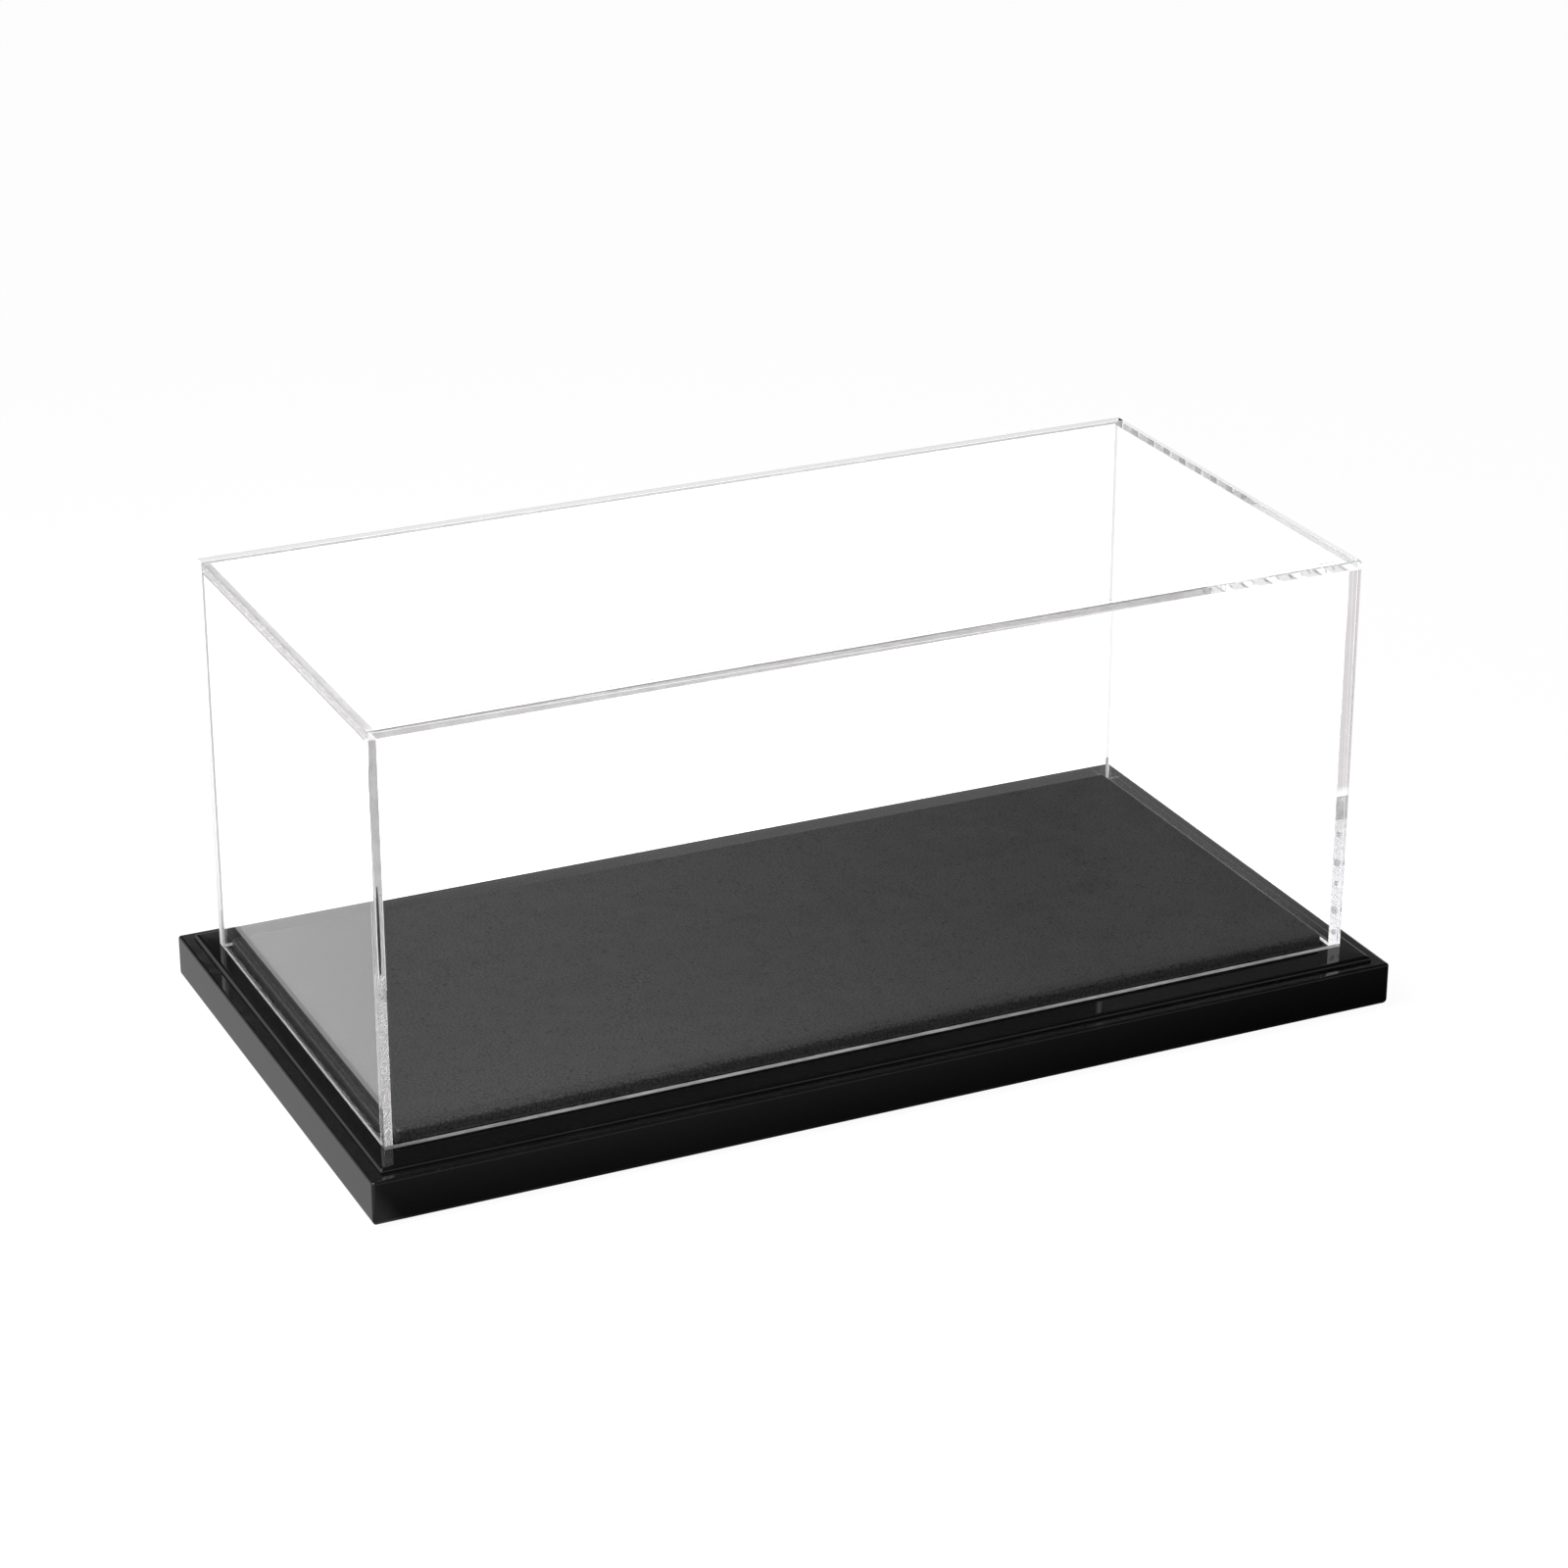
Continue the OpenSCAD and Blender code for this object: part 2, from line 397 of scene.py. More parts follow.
@dataclass(frozen=True)
class Grain(Layer):
    """A pebble grain whose pebbles wander by a length, with creases that may be darkened with painted shade.
    """

    per_m: float
    wander: float
    strength: float
    depth: float
    crease_shade: Colour | None = None

    def lay(self, draft: MaterialDraft) -> None:
        """Lays the grain over the normal so far.

        Args:
            draft: The material under construction.
        """
        grain = draft.effect(draft.effects.pebble, self.per_m, {"Wander": self.wander})
        # Darkens the creases with painted shade.
        if self.crease_shade is not None:
            draft.tone(grain["Crease"], self.crease_shade)
        draft.bump(grain["Height"], self.strength, self.depth)


@dataclass(frozen=True)
class Clearing(Layer):
    """Clear cement wherever its joint isn't marked as clouded."""

    clear: Colour = (0.985, 0.985, 0.988, 1.0)

    def lay(self, draft: MaterialDraft) -> None:
        """Clears the colour so far by the joint's mark."""
        clouded = draft.feeds["Base Color"]
        draft.feeds["Base Color"] = draft.graph.mix(draft.mark(CLOUDED), self.clear, clouded)


@dataclass(frozen=True)
class Finish:
    """A finish: the layers of its material, from the ground up, and the plain values of its shader."""

    name: str
    layers: tuple[Layer, ...]
    plain: Feeds = field(default_factory=dict)

    def build(self, effects: SurfaceEffects) -> Material:
        """Builds the material.

        Args:
            effects: The shared node groups.

        Returns:
            The material.
        """
        draft = MaterialDraft(self.name, effects)
        for layer in self.layers:
            layer.lay(draft)
        shader = draft.graph.add("ShaderNodeBsdfPrincipled", {**draft.feeds, **self.plain})
        draft.graph.add("ShaderNodeOutputMaterial", {"Surface": shader.outputs["BSDF"]})
        return draft.material


def clear_sheet(name: str, tint: Colour, ior: float, haze: float) -> Finish:
    """Gives a finish of clear acrylic with faint wiping haze."""
    smears = Clouds(18.0, tint, tint, roughness=(0.0, haze), start=0.2)
    return Finish(name, (smears,), {"Base Color": tint, "IOR": ior, "Transmission Weight": 1.0})


def sawn_edge(name: str, dark: Colour, light: Colour) -> Finish:
    """Gives the finish of a sawn edge in the colours given, with fine tooth marks."""
    teeth = Relief(
        per_m=900.0, detail=3.0, strength=0.5, depth=0.1 * MM, edges=(0.3, 0.7), roughness=(0.5, 0.7)
    )
    return Finish(name, (Clouds(120.0, dark, light), teeth), {"Transmission Weight": 0.2})


def set_cement(name: str, thin: Colour, thick: Colour, *over: Layer, passing: float = 1.0) -> Finish:
    """Gives a finish of set cement, which matches the acrylic's refraction, with the layers over it."""
    plain = {"Roughness": 0.0, "IOR": 1.0, "Transmission Weight": passing}
    return Finish(name, (Clouds(160.0, thin, thick), *over), plain)


@dataclass(frozen=True)
class Finishes:
    """Every finish of the case."""

    lacquer: Finish = Finish(
        "lacquer_black",
        (
            Clouds(34.0, (0.001, 0.001, 0.0011, 1.0), (0.0016, 0.0015, 0.0015, 1.0), roughness=(0.04, 0.07)),
            # Lighter colour along the edges, shoulder and ledge: partly rubbed lacquer, partly a painted
            # highlight and sheen.
            WearAndSheen(per_m=150.0, even=0.5, colour=(0.012, 0.0115, 0.011, 1.0), rougher=0.06),
            Relief(per_m=420.0, detail=1.0, strength=0.03, depth=0.02 * MM),
        ),
        {"IOR": 1.42},
    )
    leather: Finish = Finish(
        "leather_black",
        (
            Clouds(
                26.0, (0.0495, 0.0474, 0.0482, 1.0), (0.0535, 0.0512, 0.0521, 1.0), roughness=(0.56, 0.44)
            ),
            Relief(per_m=60.0, detail=3.0, strength=0.12, depth=0.5 * MM),
            # Creases darkened well below the leather's tone: painted shade.
            Grain(
                per_m=700.0, wander=0.35 * MM, strength=0.35, depth=0.06 * MM,
                crease_shade=(0.006, 0.0058, 0.0059, 1.0),
            ),
            WearAndSheen(per_m=240.0, rougher=-0.1),
        ),
    )
    fibreboard: Finish = Finish(
        "floor_fibreboard",
        (
            Clouds(180.0, (0.33, 0.22, 0.13, 1.0), (0.5, 0.37, 0.24, 1.0), roughness=(0.82, 0.94)),
            Relief(
                per_m=1400.0, detail=4.0, strength=0.4, depth=0.08 * MM,
                edges=(0.62, 0.74), colour=(0.16, 0.1, 0.06, 1.0),
            ),
        ),
    )
    zinc: Finish = Finish(
        "zinc_screw",
        (
            Clouds(900.0, (0.56, 0.56, 0.55, 1.0), (0.74, 0.74, 0.71, 1.0), roughness=(0.3, 0.42)),
            WearAndSheen(per_m=900.0, rougher=0.2),
        ),
        {"Metallic": 1.0},
    )
    rubber: Finish = Finish(
        "foot_rubber",
        (
            Clouds(320.0, (0.022, 0.022, 0.022, 1.0), (0.036, 0.036, 0.036, 1.0), roughness=(0.72, 0.84)),
            Grain(per_m=2600.0, wander=0.2 * MM, strength=0.3, depth=0.05 * MM),
            WearAndSheen(per_m=500.0, colour=(0.075, 0.074, 0.072, 1.0)),
        ),
    )
    acrylic: Finish = clear_sheet("clear_acrylic", (0.985, 0.988, 0.99, 1.0), ior=1.49, haze=0.004)
    bonded: Finish = clear_sheet("bonded_acrylic", (0.985, 0.988, 0.99, 1.0), ior=1.0, haze=0.0)
    # Grey-tinted clear faces that pass light straight through, dimmed.
    grey_tinted: Finish = clear_sheet("grey_tinted_acrylic", (0.26, 0.253, 0.253, 1.0), ior=1.0, haze=0.0)
    sawn: Finish = sawn_edge("sawn_acrylic", (0.86, 0.86, 0.87, 1.0), (0.98, 0.98, 0.98, 1.0))
    # Darker sawn foot of the front sheet: painted shade for the shade that falls on that edge.
    shaded_sawn: Finish = sawn_edge("shaded_sawn_acrylic", (0.1, 0.1, 0.1, 1.0), (0.22, 0.22, 0.22, 1.0))
    cement: Finish = set_cement(
        "clear_cement", (0.5, 0.475, 0.475, 1.0), (0.47, 0.446, 0.446, 1.0), Clearing()
    )
    streak: Finish = set_cement("cement_streak", (0.68, 0.665, 0.71, 1.0), (0.56, 0.55, 0.6, 1.0))
    blush: Finish = set_cement(
        "cement_blush", (0.66, 0.645, 0.645, 1.0), (0.58, 0.567, 0.567, 1.0), passing=0.1
    )
    void: Finish = set_cement("cement_void", (0.09, 0.09, 0.1, 1.0), (0.06, 0.06, 0.07, 1.0))


@dataclass(frozen=True)
class Ring:
    """One level of a moulded rectangle, drawn in from the corner of its outline."""

    corner: Vector
    inset: float
    z: float
    corner_r: float
    wear_and_sheen: float = 0.0
    fold: float = 0.0

    def points(self, steps: int) -> list[Vector]:
        """Gives the ring's points, turning from +X towards +Y.

        Args:
            steps: Steps round each corner.

        Returns:
            The points, with each corner's middle point drawn in by the fold.
        """
        reach = self.inset + self.corner_r
        result = []
        for quarter, (side_x, side_y) in enumerate(((1, 1), (-1, 1), (-1, -1), (1, -1))):
            centre = Vector((side_x * (self.corner.x - reach), side_y * (self.corner.y - reach), self.z))
            for step in range(steps + 1):
                angle = math.pi / 2 * (quarter + step / steps)
                radius = self.corner_r - (self.fold if 2 * step == steps else 0.0)
                result.append(centre + radius * Vector((math.cos(angle), math.sin(angle), 0.0)))
        return result


def round_over(radius: float, steps: int) -> Profile:
    """Gives the levels of a quarter round, from its upright end to its flat end.

    Args:
        radius: Radius of the round.
        steps: Steps along it.

    Returns:
        For each level, how far it is drawn in, how far it has risen, and its share of wear.
    """
    angles = [math.pi / 2 * i / steps for i in range(steps + 1)]
    return [(radius * (1 - math.cos(a)), radius * math.sin(a), math.sin(2 * a)) for a in angles]


class Workshop:
    """Turns rings, profiles and boxes into finished mesh objects."""

    SHARP_ANGLE = math.radians(40)

    @staticmethod
    def new_object(name: str, build: BMesh) -> bpy.types.Object:
        """Makes an object at the origin from a mesh under construction.

        Args:
            name: Name of the piece.
            build: The mesh, which is freed.

        Returns:
            The object, linked to the scene.
        """
        mesh = bpy.data.meshes.new(name)
        build.to_mesh(mesh)
        build.free()
        piece = bpy.data.objects.new(name, mesh)
        bpy.context.scene.collection.objects.link(piece)
        return piece

    @staticmethod
    def skin(rows: list[list[Vector]], marks: list[float], mark: str) -> BMesh:
        """Joins rows of points into a closed skin, with a cap on an end row that is no single point.

        Args:
            rows: Points of each row, in order along the skin, all as many or just one.
            marks: Value to mark on the points of each row.
            mark: Name of the marked value.

        Returns:
            The mesh.
        """
        build = bmesh.new()
        layer = build.verts.layers.float.new(mark)
        loops = []
        for row, value in zip(rows, marks):
            loop = [build.verts.new(point) for point in row]
            for vert in loop:
                vert[layer] = value
            loops.append(loop)
        count = max(len(loop) for loop in loops)
        for lower, upper in zip(loops, loops[1:]):
            for i in range(count):
                j = (i + 1) % count
                low_pair = lower[i % len(lower)], lower[j % len(lower)]
                high_pair = upper[j % len(upper)], upper[i % len(upper)]
                build.faces.new(list(dict.fromkeys(low_pair + high_pair)))
        for end in (loops[0][::-1], loops[-1]):
            if len(end) > 1:
                build.faces.new(end)
        return build

    @classmethod
    def loft(cls, rings: list[Ring], steps: int) -> BMesh:
        """Joins rings, with so many steps round each corner, into a closed skin with their wear."""
        return cls.skin([ring.points(steps) for ring in rings], [ring.wear_and_sheen for ring in rings], WEAR_AND_SHEEN)

    @classmethod
    def lathe(cls, profile: Profile, centre: Vector, steps: int) -> BMesh:
        """Turns a profile about an upright axis into a closed skin.

        Args:
            profile: Radius, height and wear of each level, from the axis at one end to the axis at the other.
            centre: Foot of the axis.
            steps: Steps round the axis.

        Returns:
            The mesh, with the levels' wear marked on its points.
        """
        rows = []
        for radius, height, _ in profile:
            angles = [2 * math.pi * i / steps for i in range(steps if radius > 0 else 1)]
            spokes = [Vector((radius * math.cos(a), radius * math.sin(a), height)) for a in angles]
            rows.append([centre + spoke for spoke in spokes])
        return cls.skin(rows, [wear_and_sheen for _, _, wear_and_sheen in profile], WEAR_AND_SHEEN)

    @staticmethod
    def eased_box(low: Vector, high: Vector, ease: float) -> BMesh:
        """Makes a box with eased edges.

        Args:
            low: Lowest corner.
            high: Highest corner.
            ease: Width of the easing along each edge.

        Returns:
            The mesh.
        """
        build = bmesh.new()
        place = Matrix.Translation((low + high) / 2) @ Matrix.Diagonal((*(high - low), 1.0))
        bmesh.ops.create_cube(build, size=1.0, matrix=place)
        bmesh.ops.bevel(build, geom=build.edges[:], offset=ease, segments=2, profile=0.5, affect="EDGES")
        bmesh.ops.recalc_face_normals(build, faces=build.faces)
        return build

    @staticmethod
    def bake(piece: bpy.types.Object) -> None:
        """Turns a piece with modifiers into a plain mesh.

        Args:
            piece: The piece, which keeps its name.
        """
        state = bpy.context.evaluated_depsgraph_get()
        mesh = bpy.data.meshes.new_from_object(
            piece.evaluated_get(state), preserve_all_data_layers=True, depsgraph=state
        )
        old = piece.data
        piece.modifiers.clear()
        piece.data = mesh
        mesh.name = piece.name
        bpy.data.meshes.remove(old)

    @classmethod
    def smooth(cls, piece: bpy.types.Object) -> None:
        """Shades a piece smoothly, with its flats kept flat and its sharp edges kept sharp.

        Args:
            piece: The piece.
        """
        piece.data.shade_smooth()
        piece.data.set_sharp_from_angle(angle=cls.SHARP_ANGLE)
        piece.modifiers.new("flat_faces", "WEIGHTED_NORMAL").keep_sharp = True
        cls.bake(piece)

    @staticmethod
    def settle(piece: bpy.types.Object, body: Body, slot: str, node: str) -> None:
        """Rides a finished piece on its body, in the place of its CAD node.

        Args:
            piece: The finished piece.
            body: Body that it moves with.
            slot: Name of the piece's material slot; not used.
            node: CAD node that it stands for.
        """
        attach(piece, body.value)
        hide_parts(node)
        log.info("%s: %d faces, on %s", piece.name, len(piece.data.polygons), body.value)


class GeometryTree:
    """A Geometry Nodes tree with named inputs."""

    def __init__(self, name: str, inputs: dict[str, str]) -> None:
        """Starts the tree.

        Args:
            name: Name of the tree.
            inputs: Socket types of the inputs between the geometry and the material, by name.
        """
        self.tree = bpy.data.node_groups.new(name, "GeometryNodeTree")
        for label, kind in {"Geometry": GEOMETRY, **inputs, "Material": MATERIAL}.items():
            self.tree.interface.new_socket(label, in_out="INPUT", socket_type=kind)
        self.tree.interface.new_socket("Geometry", in_out="OUTPUT", socket_type=GEOMETRY)
        self.graph = NodeGraph(self.tree)
        self.source = self.graph.add("NodeGroupInput").outputs

    def end(self, made: Socket, feeds: Feeds | None = None) -> None:
        """Ends the tree: makes its instances real and sets its material.

        Args:
            made: What the tree has made.
            feeds: Further inputs of the node that sets the material.
        """
        loose = self.graph.add("GeometryNodeRealizeInstances", {0: made})
        feeds = {0: loose.outputs[0], "Material": self.source["Material"], **(feeds or {})}
        dressed = self.graph.add("GeometryNodeSetMaterial", feeds)
        self.graph.add("NodeGroupOutput", {0: dressed.outputs[0]})

    def run(self, piece: bpy.types.Object, values: dict[str, object]) -> None:
        """Runs the tree on a piece and leaves a plain mesh.

        Args:
            piece: Object whose mesh goes into the tree.
            values: Values of the named inputs.
        """
        modifier = piece.modifiers.new(self.tree.name, "NODES")
        modifier.node_group = self.tree
        for item in self.tree.interface.items_tree:
            if item.in_out == "INPUT" and item.name in values:
                modifier[item.identifier] = values[item.name]
        Workshop.bake(piece)


class ScrewTree(GeometryTree):
    """A tree that repeats something at each floor screw."""

    ROWS = 2

    def __init__(self, name: str, lengths: tuple[str, ...]) -> None:
        """Starts the tree with the screws' grid and the lengths of its own that it takes."""
        grid = ("Span X", "Span Y", "Height")
        super().__init__(name, {"Columns": INTEGER, **dict.fromkeys(grid + lengths, FLOAT)})

    def repeat(self, mesh: Socket) -> Socket:
        """Repeats a mesh over the grid.

        Args:
            mesh: Mesh to stand at each screw.

        Returns:
            The instances' socket.
        """
        source = self.source
        feeds = {"Size X": source["Span X"], "Size Y": source["Span Y"], "Vertices X": source["Columns"]}
        grid = self.graph.add("GeometryNodeMeshGrid", {**feeds, "Vertices Y": self.ROWS})
        lift = self.graph.add("ShaderNodeCombineXYZ", {"Z": source["Height"]}).outputs[0]
        moved = self.graph.add("GeometryNodeTransform", {0: grid.outputs["Mesh"], "Translation": lift})
        feeds = {"Points": moved.outputs[0], "Instance": mesh}
        return self.graph.add("GeometryNodeInstanceOnPoints", feeds).outputs[0]


@dataclass
class ScrewPlaces:
    """Where the floor's screws stand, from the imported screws' box."""

    low: Vector = field(default_factory=lambda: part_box("floor_screws")[0])
    high: Vector = field(default_factory=lambda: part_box("floor_screws")[1])
    columns: int = 3
    head_d: float = 6.4 * MM

    def values(self, height: float) -> dict[str, object]:
        """Gives a screw tree its grid, at a height."""
        span = self.high - self.low - Vector((self.head_d, self.head_d, 0.0))
        return {"Columns": self.columns, "Span X": span.x, "Span Y": span.y, "Height": height}


@dataclass
class Plinth:
    """The stepped black plinth, with the recess for the floor and the holes for its screws."""

    low: Vector = field(default_factory=lambda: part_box("plinth")[0])
    high: Vector = field(default_factory=lambda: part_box("plinth")[1])
    ledge_drop: float = 1.5 * MM
    ledge_w: float = 4.0 * MM
    # The ledge's lacquer is lightened by the wear colour, partly dust and partly a painted sheen, starting a
    # little way in from the edge's round.
    ledge_dust_and_sheen: float = 0.7
    dust_and_sheen_edge: float = 0.2 * MM
    fillet_h: float = 0.2 * MM
    shoulder_r: float = 1.3 * MM
    # The shoulder's round is lightened by the wear colour, partly wear and partly a painted highlight.
    shoulder_wear_and_sheen: float = 0.5
    corner_r: float = 1.0 * MM
    step_corner_r: float = 0.3 * MM
    edge_r: float = 0.8 * MM
    heel_r: float = 1.8 * MM
    recess: Vector = field(default_factory=lambda: Vector((148.8 * MM, 68.3 * MM, 0.0)))
    recess_depth: float = 3.0 * MM
    recess_corner_r: float = 0.3 * MM
    recess_ease: float = 0.25 * MM
    recess_wear: float = 0.4
    air_gap: float = 0.03 * MM
    shank_hole_d: float = 4.0 * MM
    head_hole_d: float = 7.4 * MM
    head_hole_depth: float = 4.0 * MM
    hole_steps: int = 48
    heel_steps: int = 8
    edge_steps: int = 6
    shoulder_steps: int = 12
    corner_steps: int = 10

    def side_rings(self) -> list[Ring]:
        """Gives the rings of the sides and the ledge, from the underside up.

        Returns:
            The rings.
        """
        ledge_z = self.high.z - self.ledge_drop
        rings = []
        # The heel and edge rounds carry the wear mark, which the lacquer shows as wear and as a painted edge
        # highlight.
        for inset, rise, wear_and_sheen in reversed(round_over(self.heel_r, self.heel_steps)):
            corner_r = max(self.corner_r - inset, self.step_corner_r)
            rings.append(Ring(self.high, inset, self.low.z + self.heel_r - rise, corner_r, wear_and_sheen))
        for inset, rise, wear_and_sheen in round_over(self.edge_r, self.edge_steps):
            rings.append(Ring(self.high, inset, ledge_z - self.edge_r + rise, self.corner_r - inset, wear_and_sheen))
        for inset, corner_r in (
            (self.edge_r + self.dust_and_sheen_edge, self.corner_r - self.edge_r), (self.ledge_w, self.step_corner_r)
        ):
            rings.append(Ring(self.high, inset, ledge_z, corner_r, self.ledge_dust_and_sheen))
        return rings

    def step_rings(self) -> list[Ring]:
        """Gives the rings of the step, the rim and the recess, down to the recess's floor.

        Returns:
            The rings.
        """
        rim_z = self.high.z - self.air_gap
        foot_z = self.high.z - self.ledge_drop + self.fillet_h
        rings = [Ring(self.high, self.ledge_w, foot_z, self.step_corner_r)]
        for inset, rise, wear_and_sheen in round_over(self.shoulder_r, self.shoulder_steps):
            z = foot_z + (rim_z - foot_z) * rise / self.shoulder_r
            wear = self.shoulder_wear_and_sheen * wear_and_sheen
            rings.append(Ring(self.high, self.ledge_w + inset, z, self.step_corner_r, wear))
        corner_r, ease = self.recess_corner_r, self.recess_ease
        rings.append(Ring(self.recess, -ease, rim_z, corner_r + ease))
        rings.append(Ring(self.recess, 0.0, rim_z - ease, corner_r, self.recess_wear))
        rings.append(Ring(self.recess, 0.0, self.high.z - self.recess_depth, corner_r))
        return rings

    def hole_tree(self) -> ScrewTree:
        """Builds the tree that bores a stepped hole at each screw.

        Returns:
            The tree.
        """
        tree = ScrewTree("screw_holes", ("Head Radius", "Head Depth", "Shank Radius", "Shank Depth"))
        graph, source = tree.graph, tree.source
        drills = graph.add("GeometryNodeJoinGeometry")
        for label in ("Shank", "Head"):
            reach = graph.math("MULTIPLY", source[f"{label} Depth"], 2.0)
            feeds = {"Vertices": self.hole_steps, "Radius": source[f"{label} Radius"], "Depth": reach}
            drill = graph.add("GeometryNodeMeshCylinder", feeds)
            graph.feed(drills.inputs[0], tree.repeat(drill.outputs["Mesh"]))
        loose = graph.add("GeometryNodeRealizeInstances", {0: drills.outputs[0]})
        feeds = {"Mesh 1": source["Geometry"], "Mesh 2": loose.outputs[0]}
        tree.end(graph.add("GeometryNodeMeshBoolean", feeds, operation="DIFFERENCE").outputs["Mesh"])
        return tree

    def build(self, lacquer: Material) -> None:
        """Builds, bores and dresses the plinth.

        Args:
            lacquer: Finish of the plinth.
        """
        rings = self.side_rings() + self.step_rings()
        piece = Workshop.new_object("plinth_lacquered", Workshop.loft(rings, self.corner_steps))
        self.hole_tree().run(piece, {
            **ScrewPlaces().values(self.low.z),
            "Head Radius": self.head_hole_d / 2,
            "Head Depth": self.head_hole_depth,
            "Shank Radius": self.shank_hole_d / 2,
            "Shank Depth": self.high.z - self.low.z,
            "Material": lacquer,
        })
        Workshop.smooth(piece)
        Workshop.settle(piece, Body.BASE, "lacquer_black", "plinth")


@dataclass
class DisplayFloor:
    """The raised display floor: leather over a fibreboard panel."""

    low: Vector = field(default_factory=lambda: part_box("floor_leather")[0])
    high: Vector = field(default_factory=lambda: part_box("floor_leather")[1])
    leather_t: float = 0.8 * MM
    edge_r: float = 1.2 * MM
    corner_r: float = 1.5 * MM
    least_corner_r: float = 0.35 * MM
    inner_corner_r: float = 0.4 * MM
    ceiling_corner_r: float = 0.2 * MM
    hem_r: float = 0.4 * MM
    turn_in: float = 12.0 * MM
    board_chamfer: float = 0.7 * MM
    slack: float = 0.02 * MM
    fold_depth: float = 0.22 * MM
    hem_steps: int = 4
    edge_steps: int = 10
    corner_steps: int = 12

    def rings(self) -> list[Ring]:
        """Gives the leather's rings, from the ceiling over the board, round the turned-in hem, to the top.

        Returns:
            The rings.
        """
        inner = self.leather_t - self.slack
        ceiling_z = self.high.z - inner
        rings = [Ring(self.high, inner + self.board_chamfer, ceiling_z, self.ceiling_corner_r)]
        for inset, z in (
            (inner, ceiling_z - self.board_chamfer),
            (inner, self.low.z + inner),
            (self.turn_in, self.low.z + inner),
            (self.turn_in, self.low.z),
        ):
            rings.append(Ring(self.high, inset, z, self.inner_corner_r))
        for inset, rise, _ in reversed(round_over(self.hem_r, self.hem_steps)):
            z = self.low.z + self.hem_r - rise
            rings.append(Ring(self.high, inset, z, self.corner_r - inset, fold=self.fold_depth))
        for inset, rise, wear_and_sheen in round_over(self.edge_r, self.edge_steps):
            z = self.high.z - self.edge_r + rise
            fold = self.fold_depth * (1 - rise / self.edge_r)
            corner_r = max(self.corner_r - inset, self.least_corner_r)
            rings.append(Ring(self.high, inset, z, corner_r, wear_and_sheen, fold))
        return rings

    def build(self, leather: Material, fibreboard: Material) -> None:
        """Builds and dresses the leather, and dresses the board inside it.

        Args:
            leather: Finish of the leather.
            fibreboard: Finish of the board.
        """
        piece = Workshop.new_object("floor_leather_wrap", Workshop.loft(self.rings(), self.corner_steps))
        piece.data.materials.append(leather)
        Workshop.smooth(piece)
        Workshop.settle(piece, Body.BASE, "leather_black", "floor_leather")
        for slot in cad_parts["floor_board"].material_slots:
            slot.material = fibreboard
        log.info("floor_board: kept from the packed model, redressed")


@dataclass
class FloorScrews:
    """The six screws that hold the floor down from beneath."""

    places: ScrewPlaces = field(default_factory=ScrewPlaces)
    head_h: float = 2.2 * MM
    head_ease: float = 0.15 * MM
    dome: float = 0.7 * MM
    flat_share: float = 0.45
    thread_d: float = 3.0 * MM
    thread_depth: float = 0.35 * MM
    thread_pitch: float = 1.1 * MM
    flank_share: float = 0.3
    point: float = 1.6 * MM
    cross_w: float = 0.9 * MM
    cross_l: float = 3.6 * MM
    cross_depth: float = 1.1 * MM
    face_wear: float = 0.1
    side_wear: float = 0.6
    under_wear: float = 0.4
    crest_wear: float = 0.8
    point_wear: float = 0.5
    dome_steps: int = 6
    steps: int = 32

    def profile(self) -> Profile:
        """Gives one screw's profile, from the middle of its head's face to its point.

        Returns:
            Radius, height and wear of each level.
        """
        head_r = self.places.head_d / 2
        core_r = self.thread_d / 2 - self.thread_depth
        length = self.places.high.z - self.places.low.z
        levels = [(0.0, 0.0, 0.0), (self.flat_share * head_r, 0.0, self.face_wear)]
        for i in range(1, self.dome_steps + 1):
            angle = math.pi / 2 * i / self.dome_steps
            share = self.flat_share + (1 - self.flat_share) * math.sin(angle)
            levels.append((head_r * share, self.dome * (1 - math.cos(angle)), i / self.dome_steps))
        levels.append((head_r, self.head_h - self.head_ease, self.side_wear))
        levels.append((head_r - self.head_ease, self.head_h, self.under_wear))
        levels.append((core_r, self.head_h, 0.0))
        flank = self.flank_share * self.thread_pitch
        height = self.head_h + self.thread_pitch / 2
        while height < length - self.point:
            levels.append((core_r, height - flank, 0.0))
            levels.append((self.thread_d / 2, height, self.crest_wear))
            levels.append((core_r, height + flank, 0.0))
            height += self.thread_pitch
        levels.append((0.0, length, self.point_wear))
        return levels

    @staticmethod
    def screw_tree() -> ScrewTree:
        """Builds the tree that cuts the cross into one screw's head and repeats the screw over the grid.

        Returns:
            The tree.
        """
        tree = ScrewTree("screw_set", ("Cross Length", "Cross Width", "Cross Depth"))
        graph, source = tree.graph, tree.source
        reach = graph.math("MULTIPLY", source["Cross Depth"], 2.0)
        cross = graph.add("GeometryNodeJoinGeometry")
        for along, across in (("Cross Length", "Cross Width"), ("Cross Width", "Cross Length")):
            size = graph.add("ShaderNodeCombineXYZ", {"X": source[along], "Y": source[across], "Z": reach})
            slot = graph.add("GeometryNodeMeshCube", {"Size": size.outputs[0]})
            graph.feed(cross.inputs[0], slot.outputs["Mesh"])
        feeds = {"Mesh 1": source["Geometry"], "Mesh 2": cross.outputs[0]}
        cut = graph.add("GeometryNodeMeshBoolean", feeds, operation="DIFFERENCE")
        tree.end(tree.repeat(cut.outputs["Mesh"]))
        return tree

    def build(self, zinc: Material) -> None:
        """Builds and dresses the set of screws.

        Args:
            zinc: Finish of the screws.
        """
        piece = Workshop.new_object("floor_screw_set", Workshop.lathe(self.profile(), Vector(), self.steps))
        self.screw_tree().run(piece, {
            **self.places.values(self.places.low.z),
            "Cross Length": self.cross_l,
            "Cross Width": self.cross_w,
            "Cross Depth": self.cross_depth,
            "Material": zinc,
        })
        Workshop.smooth(piece)
        Workshop.settle(piece, Body.BASE, "zinc_screw", "floor_screws")


